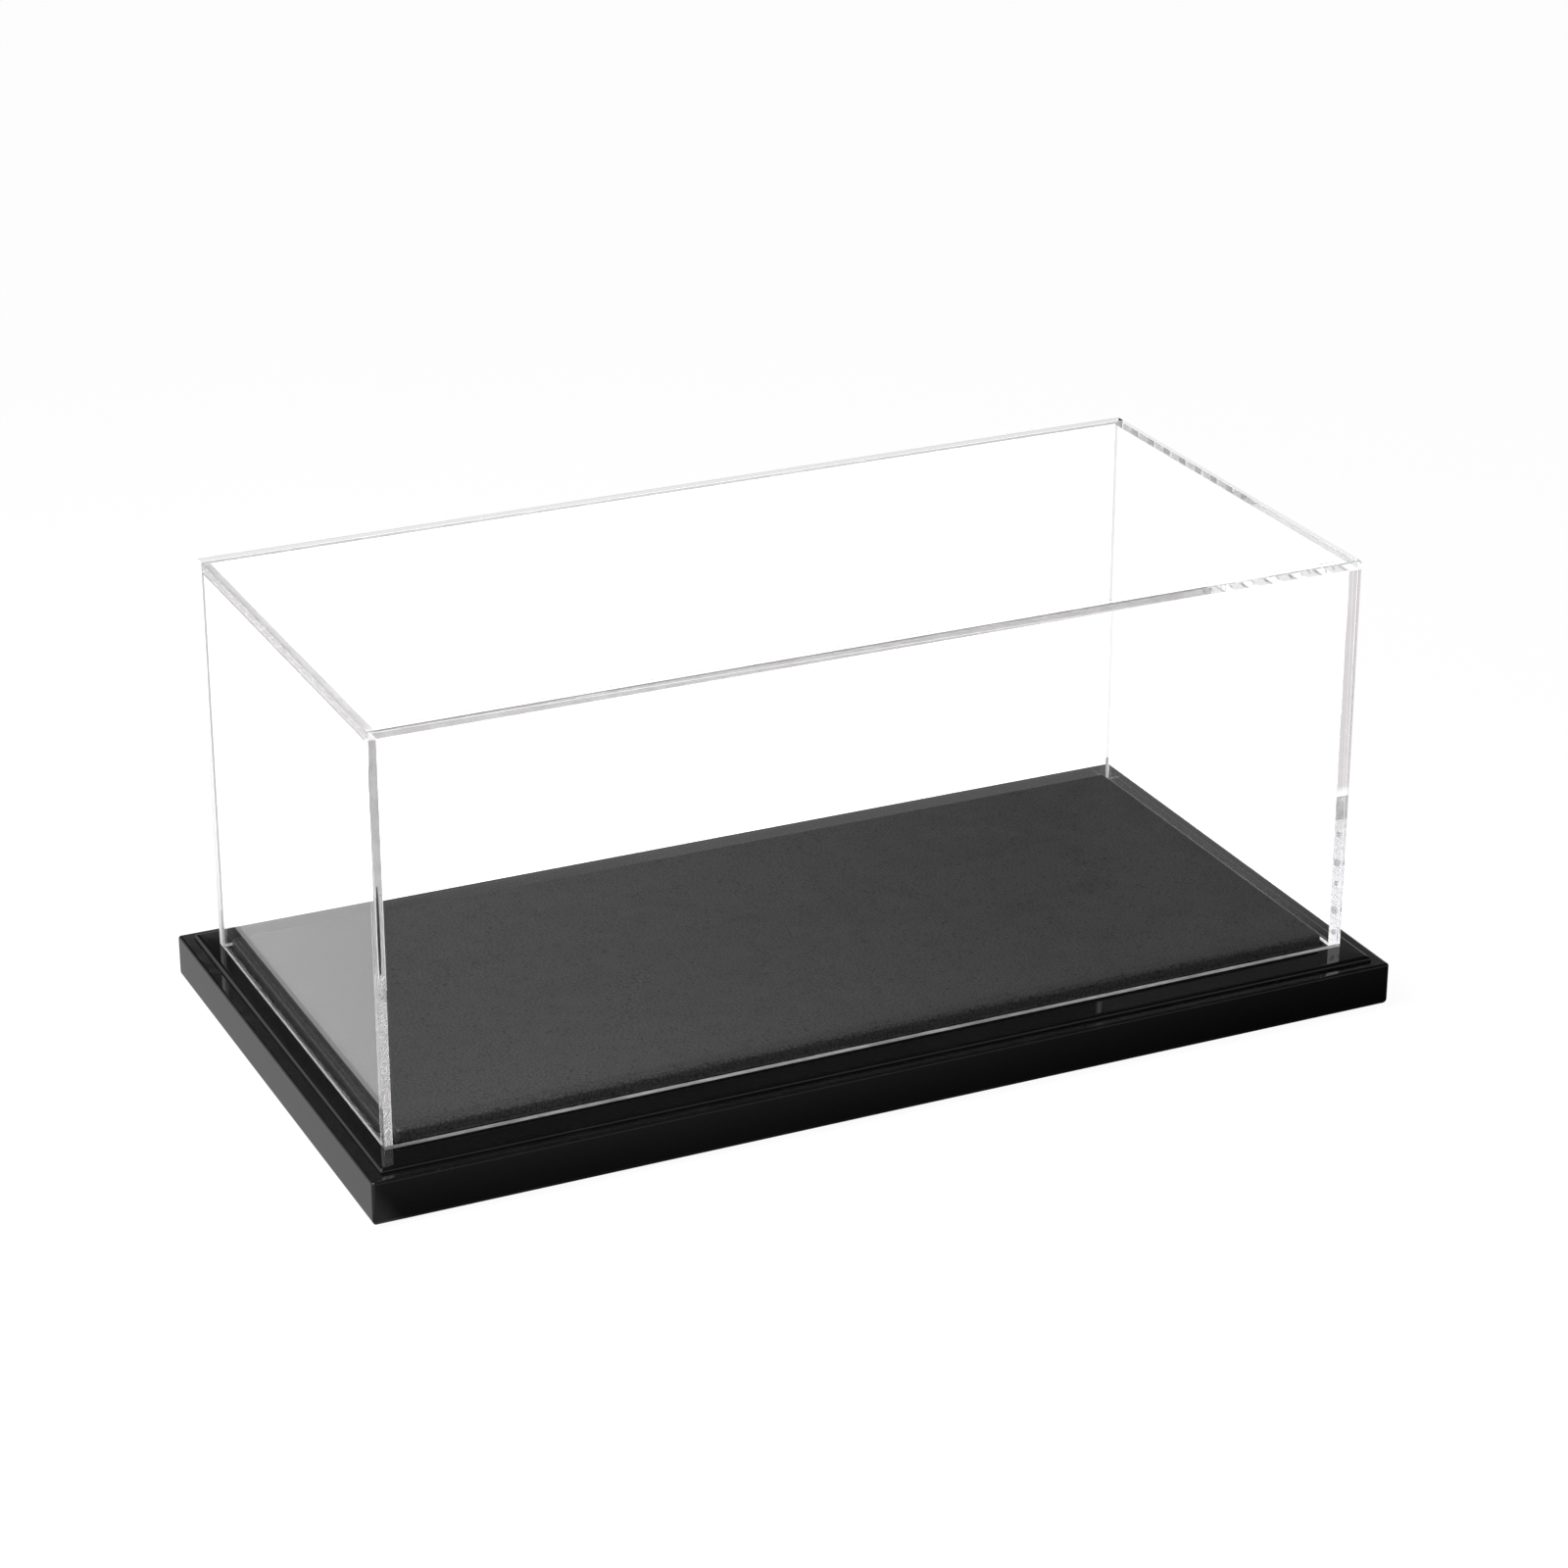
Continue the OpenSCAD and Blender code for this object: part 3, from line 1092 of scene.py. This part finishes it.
@dataclass
class RubberFeet:
    """The four low feet under the plinth's corners."""

    nodes: tuple[str, ...] = ("foot_front_left", "foot_front_right", "foot_rear_left", "foot_rear_right")
    edge_r: float = 0.6 * MM
    top_ease: float = 0.15 * MM
    groove_r: float = 4.2 * MM
    groove_w: float = 0.9 * MM
    groove_depth: float = 0.35 * MM
    groove_lip: float = 0.1 * MM
    groove_wear: float = 0.5
    top_wear: float = 0.2
    edge_steps: int = 6
    steps: int = 64

    def profile(self, radius: float, height: float) -> Profile:
        """Gives a foot's profile, from the middle of its lower face to the middle of its upper face.

        Args:
            radius: Radius of the foot.
            height: Height of the foot.

        Returns:
            Radius, height and wear of each level.
        """
        inner, outer = self.groove_r - self.groove_w / 2, self.groove_r + self.groove_w / 2
        levels = [
            (0.0, 0.0, 0.0),
            (inner - self.groove_lip, 0.0, self.groove_wear),
            (inner, self.groove_depth, 0.0),
            (outer, self.groove_depth, 0.0),
            (outer + self.groove_lip, 0.0, self.groove_wear),
        ]
        for inset, rise, wear_and_sheen in reversed(round_over(self.edge_r, self.edge_steps)):
            levels.append((radius - inset, self.edge_r - rise, wear_and_sheen))
        levels.append((radius, height - self.top_ease, self.top_wear))
        levels.append((radius - self.top_ease, height, 0.0))
        levels.append((0.0, height, 0.0))
        return levels

    def build(self, rubber: Material) -> None:
        """Builds and dresses the feet.

        Args:
            rubber: Finish of the feet.
        """
        for node in self.nodes:
            low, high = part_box(node)
            centre = Vector(((low.x + high.x) / 2, (low.y + high.y) / 2, low.z))
            profile = self.profile((high.x - low.x) / 2, high.z - low.z)
            piece = Workshop.new_object(f"{node}_pad", Workshop.lathe(profile, centre, self.steps))
            piece.data.materials.append(rubber)
            Workshop.smooth(piece)
            Workshop.settle(piece, Body.BASE, "foot_rubber", node)


class SheetFace(Enum):
    """Kinds of face on a clear sheet, by the place of their finish on it."""

    POLISHED = 0
    BONDED = 1
    SAWN = 2
    # Sawn face darkened with painted shade.
    SHADED_SAWN = 3
    # Clear face tinted grey, dimming what passes through it.
    GREY_TINTED = 4


@dataclass
class CoverSheets:
    """The five clear sheets of the cover, polished but for their cemented faces and some of their edges.

    The front sheet's lower edge is a sawn edge darkened with painted shade, and the others are as sawn. One
    free end of the rear sheet is left as sawn, and some free faces of the rear and top sheets are tinted
    grey, dimming what passes through them.
    """

    nodes: tuple[str, ...] = ("cover_front", "cover_rear", "cover_left", "cover_right", "cover_top")
    joints: tuple[str, ...] = (
        "bond_front_left", "bond_front_right", "bond_rear_left", "bond_rear_right",
        "bond_top_front", "bond_top_rear", "bond_top_left", "bond_top_right",
    )
    shaded_sawn_node: str = "cover_front"
    free_edges: tuple[tuple[str, Size, SheetFace], ...] = (
        ("cover_rear", (-1.0, 0.0, 0.0), SheetFace.SAWN),
        ("cover_rear", (0.0, 0.0, 1.0), SheetFace.GREY_TINTED),
        ("cover_top", (1.0, 0.0, 0.0), SheetFace.GREY_TINTED),
    )
    ease: float = 0.1 * MM
    reach: float = 0.05 * MM
    facing: float = 0.9
    level_digits: int = 6

    def cut(self, build: BMesh, low: Vector, high: Vector) -> None:
        """Cuts a sheet's faces along the edges of the joints that meet it.

        Args:
            build: The sheet's mesh.
            low: Lowest corner of the sheet.
            high: Highest corner of the sheet.
        """
        corners = [corner for node in self.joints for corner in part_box(node)]
        for axis in range(3):
            levels = {round(corner[axis], self.level_digits) for corner in corners}
            for level in levels:
                if low[axis] + 2 * self.ease < level < high[axis] - 2 * self.ease:
                    place, way = Vector(), Vector()
                    place[axis], way[axis] = level, 1.0
                    parts = build.verts[:] + build.edges[:] + build.faces[:]
                    bmesh.ops.bisect_plane(build, geom=parts, plane_co=place, plane_no=way)

    def kind(self, face: bmesh.types.BMFace, foot: float, sheet: str) -> SheetFace:
        """Tells what kind of face it is.

        Args:
            face: Face of a cut sheet.
            foot: Height of the cover's lower edge.
            sheet: Node of the sheet.

        Returns:
            The kind of face.
        """
        centre = face.calc_center_median()
        if face.normal.z < -self.facing and centre.z < foot + self.reach:
            # The front sheet's foot gets the darker sawn face: painted shade.
            return SheetFace.SHADED_SAWN if sheet == self.shaded_sawn_node else SheetFace.SAWN
        for node in self.joints:
            low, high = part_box(node)
            thin = min(range(3), key=lambda axis: high[axis] - low[axis])
            inside = all(low[i] - self.reach < centre[i] < high[i] + self.reach for i in range(3))
            if inside and abs(face.normal[thin]) > self.facing:
                return SheetFace.BONDED
        for node, way, kind in self.free_edges:
            if sheet == node and face.normal.dot(Vector(way)) > self.facing:
                return kind
        return SheetFace.POLISHED

    def build(self, finishes: dict[SheetFace, Material]) -> None:
        """Builds and dresses the sheets.

        Args:
            finishes: Finish of each kind of face.
        """
        foot = min(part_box(node)[0].z for node in self.nodes)
        for node in self.nodes:
            low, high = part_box(node)
            build = Workshop.eased_box(low, high, self.ease)
            self.cut(build, low, high)
            for face in build.faces:
                face.material_index = self.kind(face, foot, node).value
            piece = Workshop.new_object(f"{node}_sheet", build)
            for kind in SheetFace:
                piece.data.materials.append(finishes[kind])
            Workshop.settle(piece, Body.COVER, "clear_acrylic", node)


class FleckKind(Enum):
    """Kinds of fleck that set cement shows."""

    STREAK = "streak"
    BLUSH = "blush"
    VOID = "void"


@dataclass(frozen=True)
class FleckPatch:
    """A patch of flecks in one cement joint.

    Starts and ends are shares of the joint's length, the spacing is the least distance between two flecks,
    and the slant is in degrees from along the joint. The flecks are strewn over a strip of the width given,
    and wander from the slant by up to the angle given, in radians.
    """

    kind: FleckKind
    start: float
    end: float
    spacing: float
    length: float
    width: float
    slant: float
    seed: int
    strewn_w: float = 1.65 * MM
    wander: float = 0.2


@dataclass(frozen=True)
class Joint:
    """One cement joint: its node and run, its cloudiness, its flecks and where it has blushed.

    The cloudiness is given at shares of the joint's length, and the blush from one share to another.
    """

    node: str
    run: Run
    cloud: tuple[tuple[float, float], ...]
    flecks: tuple[FleckPatch, ...] = ()
    blushed: tuple[tuple[float, float], ...] = ()

    def blushed_at(self, share: float) -> bool:
        """Tells whether the cement has blushed at a share of the joint's length."""
        return any(start <= share <= end for start, end in self.blushed)

    def cloud_at(self, share: float) -> float:
        """Gives the cloudiness at a share of the joint's length.

        Args:
            share: The share.

        Returns:
            The cloudiness, from 0 to 1.
        """
        for (start, first), (end, second) in zip(self.cloud, self.cloud[1:]):
            if share <= end:
                return first + (second - first) * max(share - start, 0.0) / (end - start)
        return self.cloud[-1][1]


@dataclass
class CementJoints:
    """The set cement between the sheets, with the clouding and streaks that it dried with."""

    slack: float = 0.02 * MM
    end_slack: float = 0.1 * MM
    steps: int = 60
    fleck_share: float = 0.7
    tries_per_area: float = 5.0 / MM**2
    least_growth: float = 0.6
    joints: tuple[Joint, ...] = (
        Joint(
            "bond_front_left", Run.UPRIGHT, ((0.0, 0.3), (0.4, 0.3), (0.42, 0.0), (1.0, 0.0)),
            (
                FleckPatch(FleckKind.BLUSH, 0.0, 0.43, 0.6 * MM, 1.6 * MM, 0.6 * MM, 30.0, 3),
                FleckPatch(FleckKind.VOID, 0.5, 0.55, 50.0 * MM, 38.0 * MM, 1.1 * MM, 0.0, 4, 0.2 * MM, 0.0),
            ),
        ),
        Joint(
            "bond_front_right", Run.UPRIGHT, ((0.0, 0.0), (0.415, 0.0), (0.43, 0.7), (1.0, 0.7)),
            (
                FleckPatch(
                    FleckKind.STREAK, 0.02, 0.34, 5.5 * MM, 3.2 * MM, 2.2 * MM, -30.0, 5, 0.25 * MM, 0.1
                ),
            ),
        ),
        Joint("bond_rear_left", Run.UPRIGHT, ((0.0, 1.0), (1.0, 1.0)), blushed=((0.0, 1.0),)),
        Joint("bond_rear_right", Run.UPRIGHT, ((0.0, 0.6), (1.0, 0.6)), blushed=((0.0, 0.06),)),
        Joint(
            "bond_top_front", Run.LENGTHWISE, ((0.0, 0.2), (0.8, 0.2), (0.83, 0.0), (1.0, 0.0)),
            (FleckPatch(FleckKind.STREAK, 0.83, 0.975, 2.2 * MM, 2.6 * MM, 0.8 * MM, -45.0, 13, 0.6 * MM),),
        ),
        Joint("bond_top_rear", Run.LENGTHWISE, ((0.0, 1.0), (1.0, 1.0)), blushed=((0.0, 1.0),)),
        Joint("bond_top_left", Run.CROSSWISE, ((0.0, 1.0), (1.0, 1.0)), blushed=((0.0, 1.0),)),
        Joint("bond_top_right", Run.CROSSWISE, ((0.0, 0.0), (1.0, 0.0))),
    )

    def film(self, joint: Joint, low: Vector, high: Vector, along: int) -> BMesh:
        """Makes the thin film of one joint, with its cloudiness marked and its blushed faces told apart.

        Args:
            joint: The joint.
            low: Lowest corner of the film.
            high: Highest corner of the film.
            along: Axis that the joint runs along.

        Returns:
            The mesh.
        """
        second, third = (along + 1) % 3, (along + 2) % 3
        shares = [step / self.steps for step in range(self.steps + 1)]
        rows = []
        for share in shares:
            row = []
            for one, other in ((low, low), (high, low), (high, high), (low, high)):
                point = Vector()
                point[along] = low[along] + (high[along] - low[along]) * share
                point[second], point[third] = one[second], other[third]
                row.append(point)
            rows.append(row)
        build = Workshop.skin(rows, [joint.cloud_at(share) for share in shares], CLOUDED)
        for face in build.faces:
            share = (face.calc_center_median()[along] - low[along]) / (high[along] - low[along])
            face.material_index = int(joint.blushed_at(min(max(share, 0.0), 1.0)))
        return build

    @staticmethod
    def fleck_tree() -> GeometryTree:
        """Builds the tree that strews flat flecks over a strip of a joint, beside what the piece holds.

        Returns:
            The tree.
        """
        lengths = ("Strip Length", "Strip Width", "Spacing", "Tries per Area")
        shape = ("Slant", "Slant Spread", "Least Growth")
        tree = GeometryTree("cement_flecks", {
            **dict.fromkeys(lengths + shape, FLOAT),
            "Fleck": VECTOR, "Seed": INTEGER, "Turn": ROTATION, "Centre": VECTOR,
        })
        graph, source = tree.graph, tree.source
        slant, spread, seed = source["Slant"], source["Slant Spread"], source["Seed"]
        feeds = {"Size X": source["Strip Length"], "Size Y": source["Strip Width"]}
        strip = graph.add("GeometryNodeMeshGrid", {**feeds, "Vertices X": 2, "Vertices Y": 2})
        feeds = {"Distance Min": source["Spacing"], "Density Max": source["Tries per Area"], "Seed": seed}
        strewn = graph.add(
            "GeometryNodeDistributePointsOnFaces", {"Mesh": strip.outputs["Mesh"], **feeds},
            distribute_method="POISSON",
        )
        ends = {2: graph.math("SUBTRACT", slant, spread), 3: graph.math("ADD", slant, spread)}
        lean = graph.add("FunctionNodeRandomValue", {**ends, "Seed": seed}).outputs[1]
        next_seed = graph.math("ADD", seed, 1.0)
        ends = {2: source["Least Growth"], 3: 1.0}
        growth = graph.add("FunctionNodeRandomValue", {**ends, "Seed": next_seed}).outputs[1]
        grown = graph.add("ShaderNodeVectorMath", {0: source["Fleck"], "Scale": growth}, operation="SCALE")
        lens = graph.add("GeometryNodeMeshIcoSphere", {"Radius": 0.5, "Subdivisions": 2})
        marked = []
        for mesh, value in ((lens.outputs["Mesh"], 1.0), (source["Geometry"], 0.0)):
            feeds = {"Geometry": mesh, "Name": STREWN, "Value": value}
            marker = graph.add("GeometryNodeStoreNamedAttribute", feeds, data_type="FLOAT", domain="FACE")
            marked.append(marker.outputs[0])
        flecks = graph.add("GeometryNodeInstanceOnPoints", {
            "Points": strewn.outputs["Points"],
            "Instance": marked[0],
            "Rotation": graph.add("ShaderNodeCombineXYZ", {"Z": lean}).outputs[0],
            "Scale": grown.outputs[0],
        })
        feeds = {"Translation": source["Centre"], "Rotation": source["Turn"]}
        laid = graph.add("GeometryNodeTransform", {"Geometry": flecks.outputs[0], **feeds})
        whole = graph.add("GeometryNodeJoinGeometry")
        graph.feed(whole.inputs[0], laid.outputs[0])
        graph.feed(whole.inputs[0], marked[1])
        mark = graph.add("GeometryNodeInputNamedAttribute", {"Name": STREWN}, data_type="FLOAT")
        chosen = graph.math("GREATER_THAN", mark.outputs["Attribute"], 0.5)
        tree.end(whole.outputs[0], {"Selection": chosen})
        return tree

    def build(self, film: Material, flecks: dict[FleckKind, Material]) -> None:
        """Builds and dresses the joints.

        Args:
            film: Finish of the cement.
            flecks: Finish of each kind of fleck.
        """
        tree = self.fleck_tree()
        for joint in self.joints:
            low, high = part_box(joint.node)
            size = high - low
            along, _, thin = sorted(range(3), key=lambda axis: -size[axis])
            gap = Vector((self.end_slack,) * 3)
            gap[thin] = self.slack
            build = self.film(joint, low + gap, high - gap, along)
            piece = Workshop.new_object(f"{joint.node}_cement", build)
            piece.data.materials.append(film)
            piece.data.materials.append(flecks[FleckKind.BLUSH])
            for patch in joint.flecks:
                centre = (low + high) / 2
                centre[along] = low[along] + size[along] * (patch.start + patch.end) / 2
                tree.run(piece, {
                    "Strip Length": size[along] * (patch.end - patch.start),
                    "Strip Width": patch.strewn_w,
                    "Spacing": patch.spacing,
                    "Tries per Area": self.tries_per_area,
                    "Fleck": (patch.length, patch.width, (size[thin] - 2 * self.slack) * self.fleck_share),
                    "Slant": math.radians(patch.slant),
                    "Slant Spread": patch.wander,
                    "Least Growth": self.least_growth,
                    "Seed": patch.seed,
                    "Turn": joint.run.turn,
                    "Centre": centre,
                    "Material": flecks[patch.kind],
                })
            Workshop.settle(piece, Body.COVER, "clear_cement", joint.node)


@dataclass(frozen=True)
class Grade:
    """A smooth change from one strength to another, over a range of places or directions."""

    low: float
    high: float
    to_low: float
    to_high: float

    def of(self, graph: NodeGraph, value: Socket) -> Socket:
        """Gives the strength at a value."""
        return graph.spread(value, self.low, self.high, self.to_low, self.to_high)


@dataclass
class Studio:
    """Floor, soft light and camera, none of which is part of the case.

    The floor and the surroundings are white to the camera and through the clear sheets. In mirror images on
    the plinth and the sheets, the floor is as bright as the grades before, across and left say, with aside
    telling where left takes over, and the surroundings are a bright backdrop below a dark room.
    """

    target: Size = (1.514 * MM, 0.0, 69.744 * MM)
    distance: float = 1.26408
    azimuth: float = -24.996
    elevation: float = 23.417
    lens: float = 97.53
    sensor: float = 36.0
    clip: tuple[float, float] = (0.05, 50.0)
    floor_half: float = 6.0
    floor_pale: Colour = (0.7, 0.7, 0.7, 1.0)
    floor_shade: Colour = (0.12, 0.12, 0.12, 1.0)
    floor_white: float = 0.96
    floor_through: float = 1.65
    before: Grade = Grade(-0.125, -0.09, 0.32, 0.1)
    across: Grade = Grade(-0.1, 0.2, 1.0, 0.4)
    aside: Grade = Grade(-0.158, -0.15, 1.0, 0.0)
    left: Grade = Grade(-0.1715, -0.1707, 0.87, 0.6)
    sky_white: float = 0.98
    sky_through: float = 1.32
    sky_pale: Colour = (1.0, 1.0, 1.0, 1.0)
    light_from: Size = (-0.5, 0.4, 0.77)
    soft: Grade = Grade(-0.6, 0.9, 0.064, 0.16)
    backdrop: Grade = Grade(0.416, 0.428, 0.76, 0.056)
    behind_sheets: float = 0.177
    few_turns: float = 2.5
    few_passes: float = 4.5
    lamp_place: Size = (-0.27, -0.09, 0.32)
    lamp_target: Size = (0.0, 0.0, 0.03)
    lamp_size: float = 0.4
    lamp_energy: float = 2.2
    bounces: int = 96
    glossy_bounces: int = 90
    transmission_bounces: int = 60
    least_bounces: int = 64

    def camera(self) -> None:
        """Sets up the camera at the photograph's angle."""
        data = bpy.data.cameras.new("camera")
        data.lens, data.sensor_width = self.lens, self.sensor
        data.clip_start, data.clip_end = self.clip
        camera = bpy.data.objects.new("camera", data)
        turn, rise = math.radians(self.azimuth), math.radians(self.elevation)
        level = Vector((math.sin(turn), -math.cos(turn), 0.0)) * math.cos(rise)
        back = level + Vector((0.0, 0.0, math.sin(rise)))
        camera.location = Vector(self.target) + back * self.distance
        camera.rotation_euler = (-back).to_track_quat("-Z", "Y").to_euler()
        bpy.context.scene.collection.objects.link(camera)
        bpy.context.scene.camera = camera

    def rays(self, graph: NodeGraph) -> tuple[Socket, Socket, Socket]:
        """Sorts the rays that reach the surroundings.

        Rays that a sheet has led along inside it count as rays through clear sheets.

        Args:
            graph: Graph of the floor's or the world's material.

        Returns:
            Sockets that are 1 for rays that light the case, for its mirror images, and for rays through clear
            sheets.
        """
        path = graph.add("ShaderNodeLightPath").outputs
        turned = graph.math("LESS_THAN", path["Glossy Depth"], self.few_turns)
        passed = graph.math("LESS_THAN", path["Transmission Depth"], self.few_passes)
        few = graph.math("MULTIPLY", turned, passed)
        lighting = graph.math("MULTIPLY", graph.math("GREATER_THAN", path["Diffuse Depth"], 0.5), few)
        mirrored = graph.math("MULTIPLY", graph.math("GREATER_THAN", path["Glossy Depth"], 0.5), few)
        return lighting, mirrored, path["Is Transmission Ray"]

    def floor(self) -> None:
        """Lays the pale floor, which keeps the case's shadow."""
        build = bmesh.new()
        bmesh.ops.create_grid(build, x_segments=1, y_segments=1, size=self.floor_half)
        piece = Workshop.new_object("studio_floor", build)
        material = bpy.data.materials.new("studio_floor")
        material.cycles.emission_sampling = "NONE"
        graph = NodeGraph.cleared(material)
        lighting, mirrored, through = self.rays(graph)
        coordinates = graph.add("ShaderNodeTexCoord").outputs["Object"]
        place = graph.add("ShaderNodeSeparateXYZ", {0: coordinates}).outputs
        bright = graph.pick(through, self.floor_white, self.floor_through)
        white = graph.add("ShaderNodeEmission", {"Strength": bright})
        shade = graph.add("ShaderNodeBsdfDiffuse", {"Color": self.floor_shade})
        clear = graph.add("ShaderNodeAddShader", {0: shade.outputs[0], 1: white.outputs[0]})
        front = graph.math("MULTIPLY", self.before.of(graph, place["Y"]), self.across.of(graph, place["X"]))
        beside = self.left.of(graph, place["X"])
        image = graph.pick(self.aside.of(graph, place["X"]), front, beside)
        glow = graph.add("ShaderNodeEmission", {"Strength": image})
        plain = graph.add("ShaderNodeBsdfDiffuse", {"Color": self.floor_pale})
        seen = graph.add("ShaderNodeMixShader", {0: mirrored, 1: clear.outputs[0], 2: glow.outputs[0]})
        shown = graph.add("ShaderNodeMixShader", {0: lighting, 1: seen.outputs[0], 2: plain.outputs[0]})
        graph.add("ShaderNodeOutputMaterial", {"Surface": shown.outputs[0]})
        piece.data.materials.append(material)

    def world(self) -> None:
        """Sets up the soft surroundings."""
        world = bpy.data.worlds.new("studio")
        bpy.context.scene.world = world
        world.cycles.sampling_method = "NONE"
        graph = NodeGraph.cleared(world)
        lighting, mirrored, through = self.rays(graph)
        way = graph.add("ShaderNodeTexCoord").outputs["Generated"]
        toward = graph.add("ShaderNodeVectorMath", {0: way, 1: self.light_from}, operation="DOT_PRODUCT")
        soft = self.soft.of(graph, toward.outputs["Value"])
        backdrop = self.backdrop.of(graph, graph.add("ShaderNodeSeparateXYZ", {0: way}).outputs["Z"])
        around = graph.math("MULTIPLY", backdrop, graph.pick(through, 1.0, self.behind_sheets))
        seen = graph.pick(mirrored, graph.pick(through, self.sky_white, self.sky_through), around)
        feeds = {"Color": self.sky_pale, "Strength": graph.pick(lighting, seen, soft)}
        shown = graph.add("ShaderNodeBackground", feeds)
        graph.add("ShaderNodeOutputWorld", {"Surface": shown.outputs[0]})

    def lamp(self) -> None:
        """Hangs one large soft lamp before the case on the left."""
        data = bpy.data.lights.new("softbox", "AREA")
        data.size = self.lamp_size
        data.energy = self.lamp_energy
        lamp = bpy.data.objects.new("softbox", data)
        lamp.location = self.lamp_place
        way = Vector(self.lamp_target) - lamp.location
        lamp.rotation_euler = way.to_track_quat("-Z", "Y").to_euler()
        bpy.context.scene.collection.objects.link(lamp)

    def build(self) -> None:
        """Sets up the whole studio."""
        self.camera()
        self.floor()
        self.world()
        self.lamp()
        scene = bpy.context.scene
        scene.view_settings.view_transform = "Standard"
        scene.cycles.blur_glossy = 0.0
        scene.cycles.max_bounces = self.bounces
        scene.cycles.glossy_bounces = self.glossy_bounces
        scene.cycles.transmission_bounces = self.transmission_bounces
        scene.cycles.min_light_bounces = self.least_bounces


def main() -> None:
    """Builds the studio and the case."""
    logging.basicConfig(level=logging.INFO, format="%(name)s: %(message)s")
    effects = SurfaceEffects()
    finishes = Finishes()
    Studio().build()
    Plinth().build(finishes.lacquer.build(effects))
    DisplayFloor().build(finishes.leather.build(effects), finishes.fibreboard.build(effects))
    FloorScrews().build(finishes.zinc.build(effects))
    RubberFeet().build(finishes.rubber.build(effects))
    CoverSheets().build({
        SheetFace.POLISHED: finishes.acrylic.build(effects),
        SheetFace.BONDED: finishes.bonded.build(effects),
        SheetFace.SAWN: finishes.sawn.build(effects),
        SheetFace.SHADED_SAWN: finishes.shaded_sawn.build(effects),
        SheetFace.GREY_TINTED: finishes.grey_tinted.build(effects),
    })
    CementJoints().build(finishes.cement.build(effects), {
        FleckKind.STREAK: finishes.streak.build(effects),
        FleckKind.BLUSH: finishes.blush.build(effects),
        FleckKind.VOID: finishes.void.build(effects),
    })


if __name__ == "__main__":
    main()
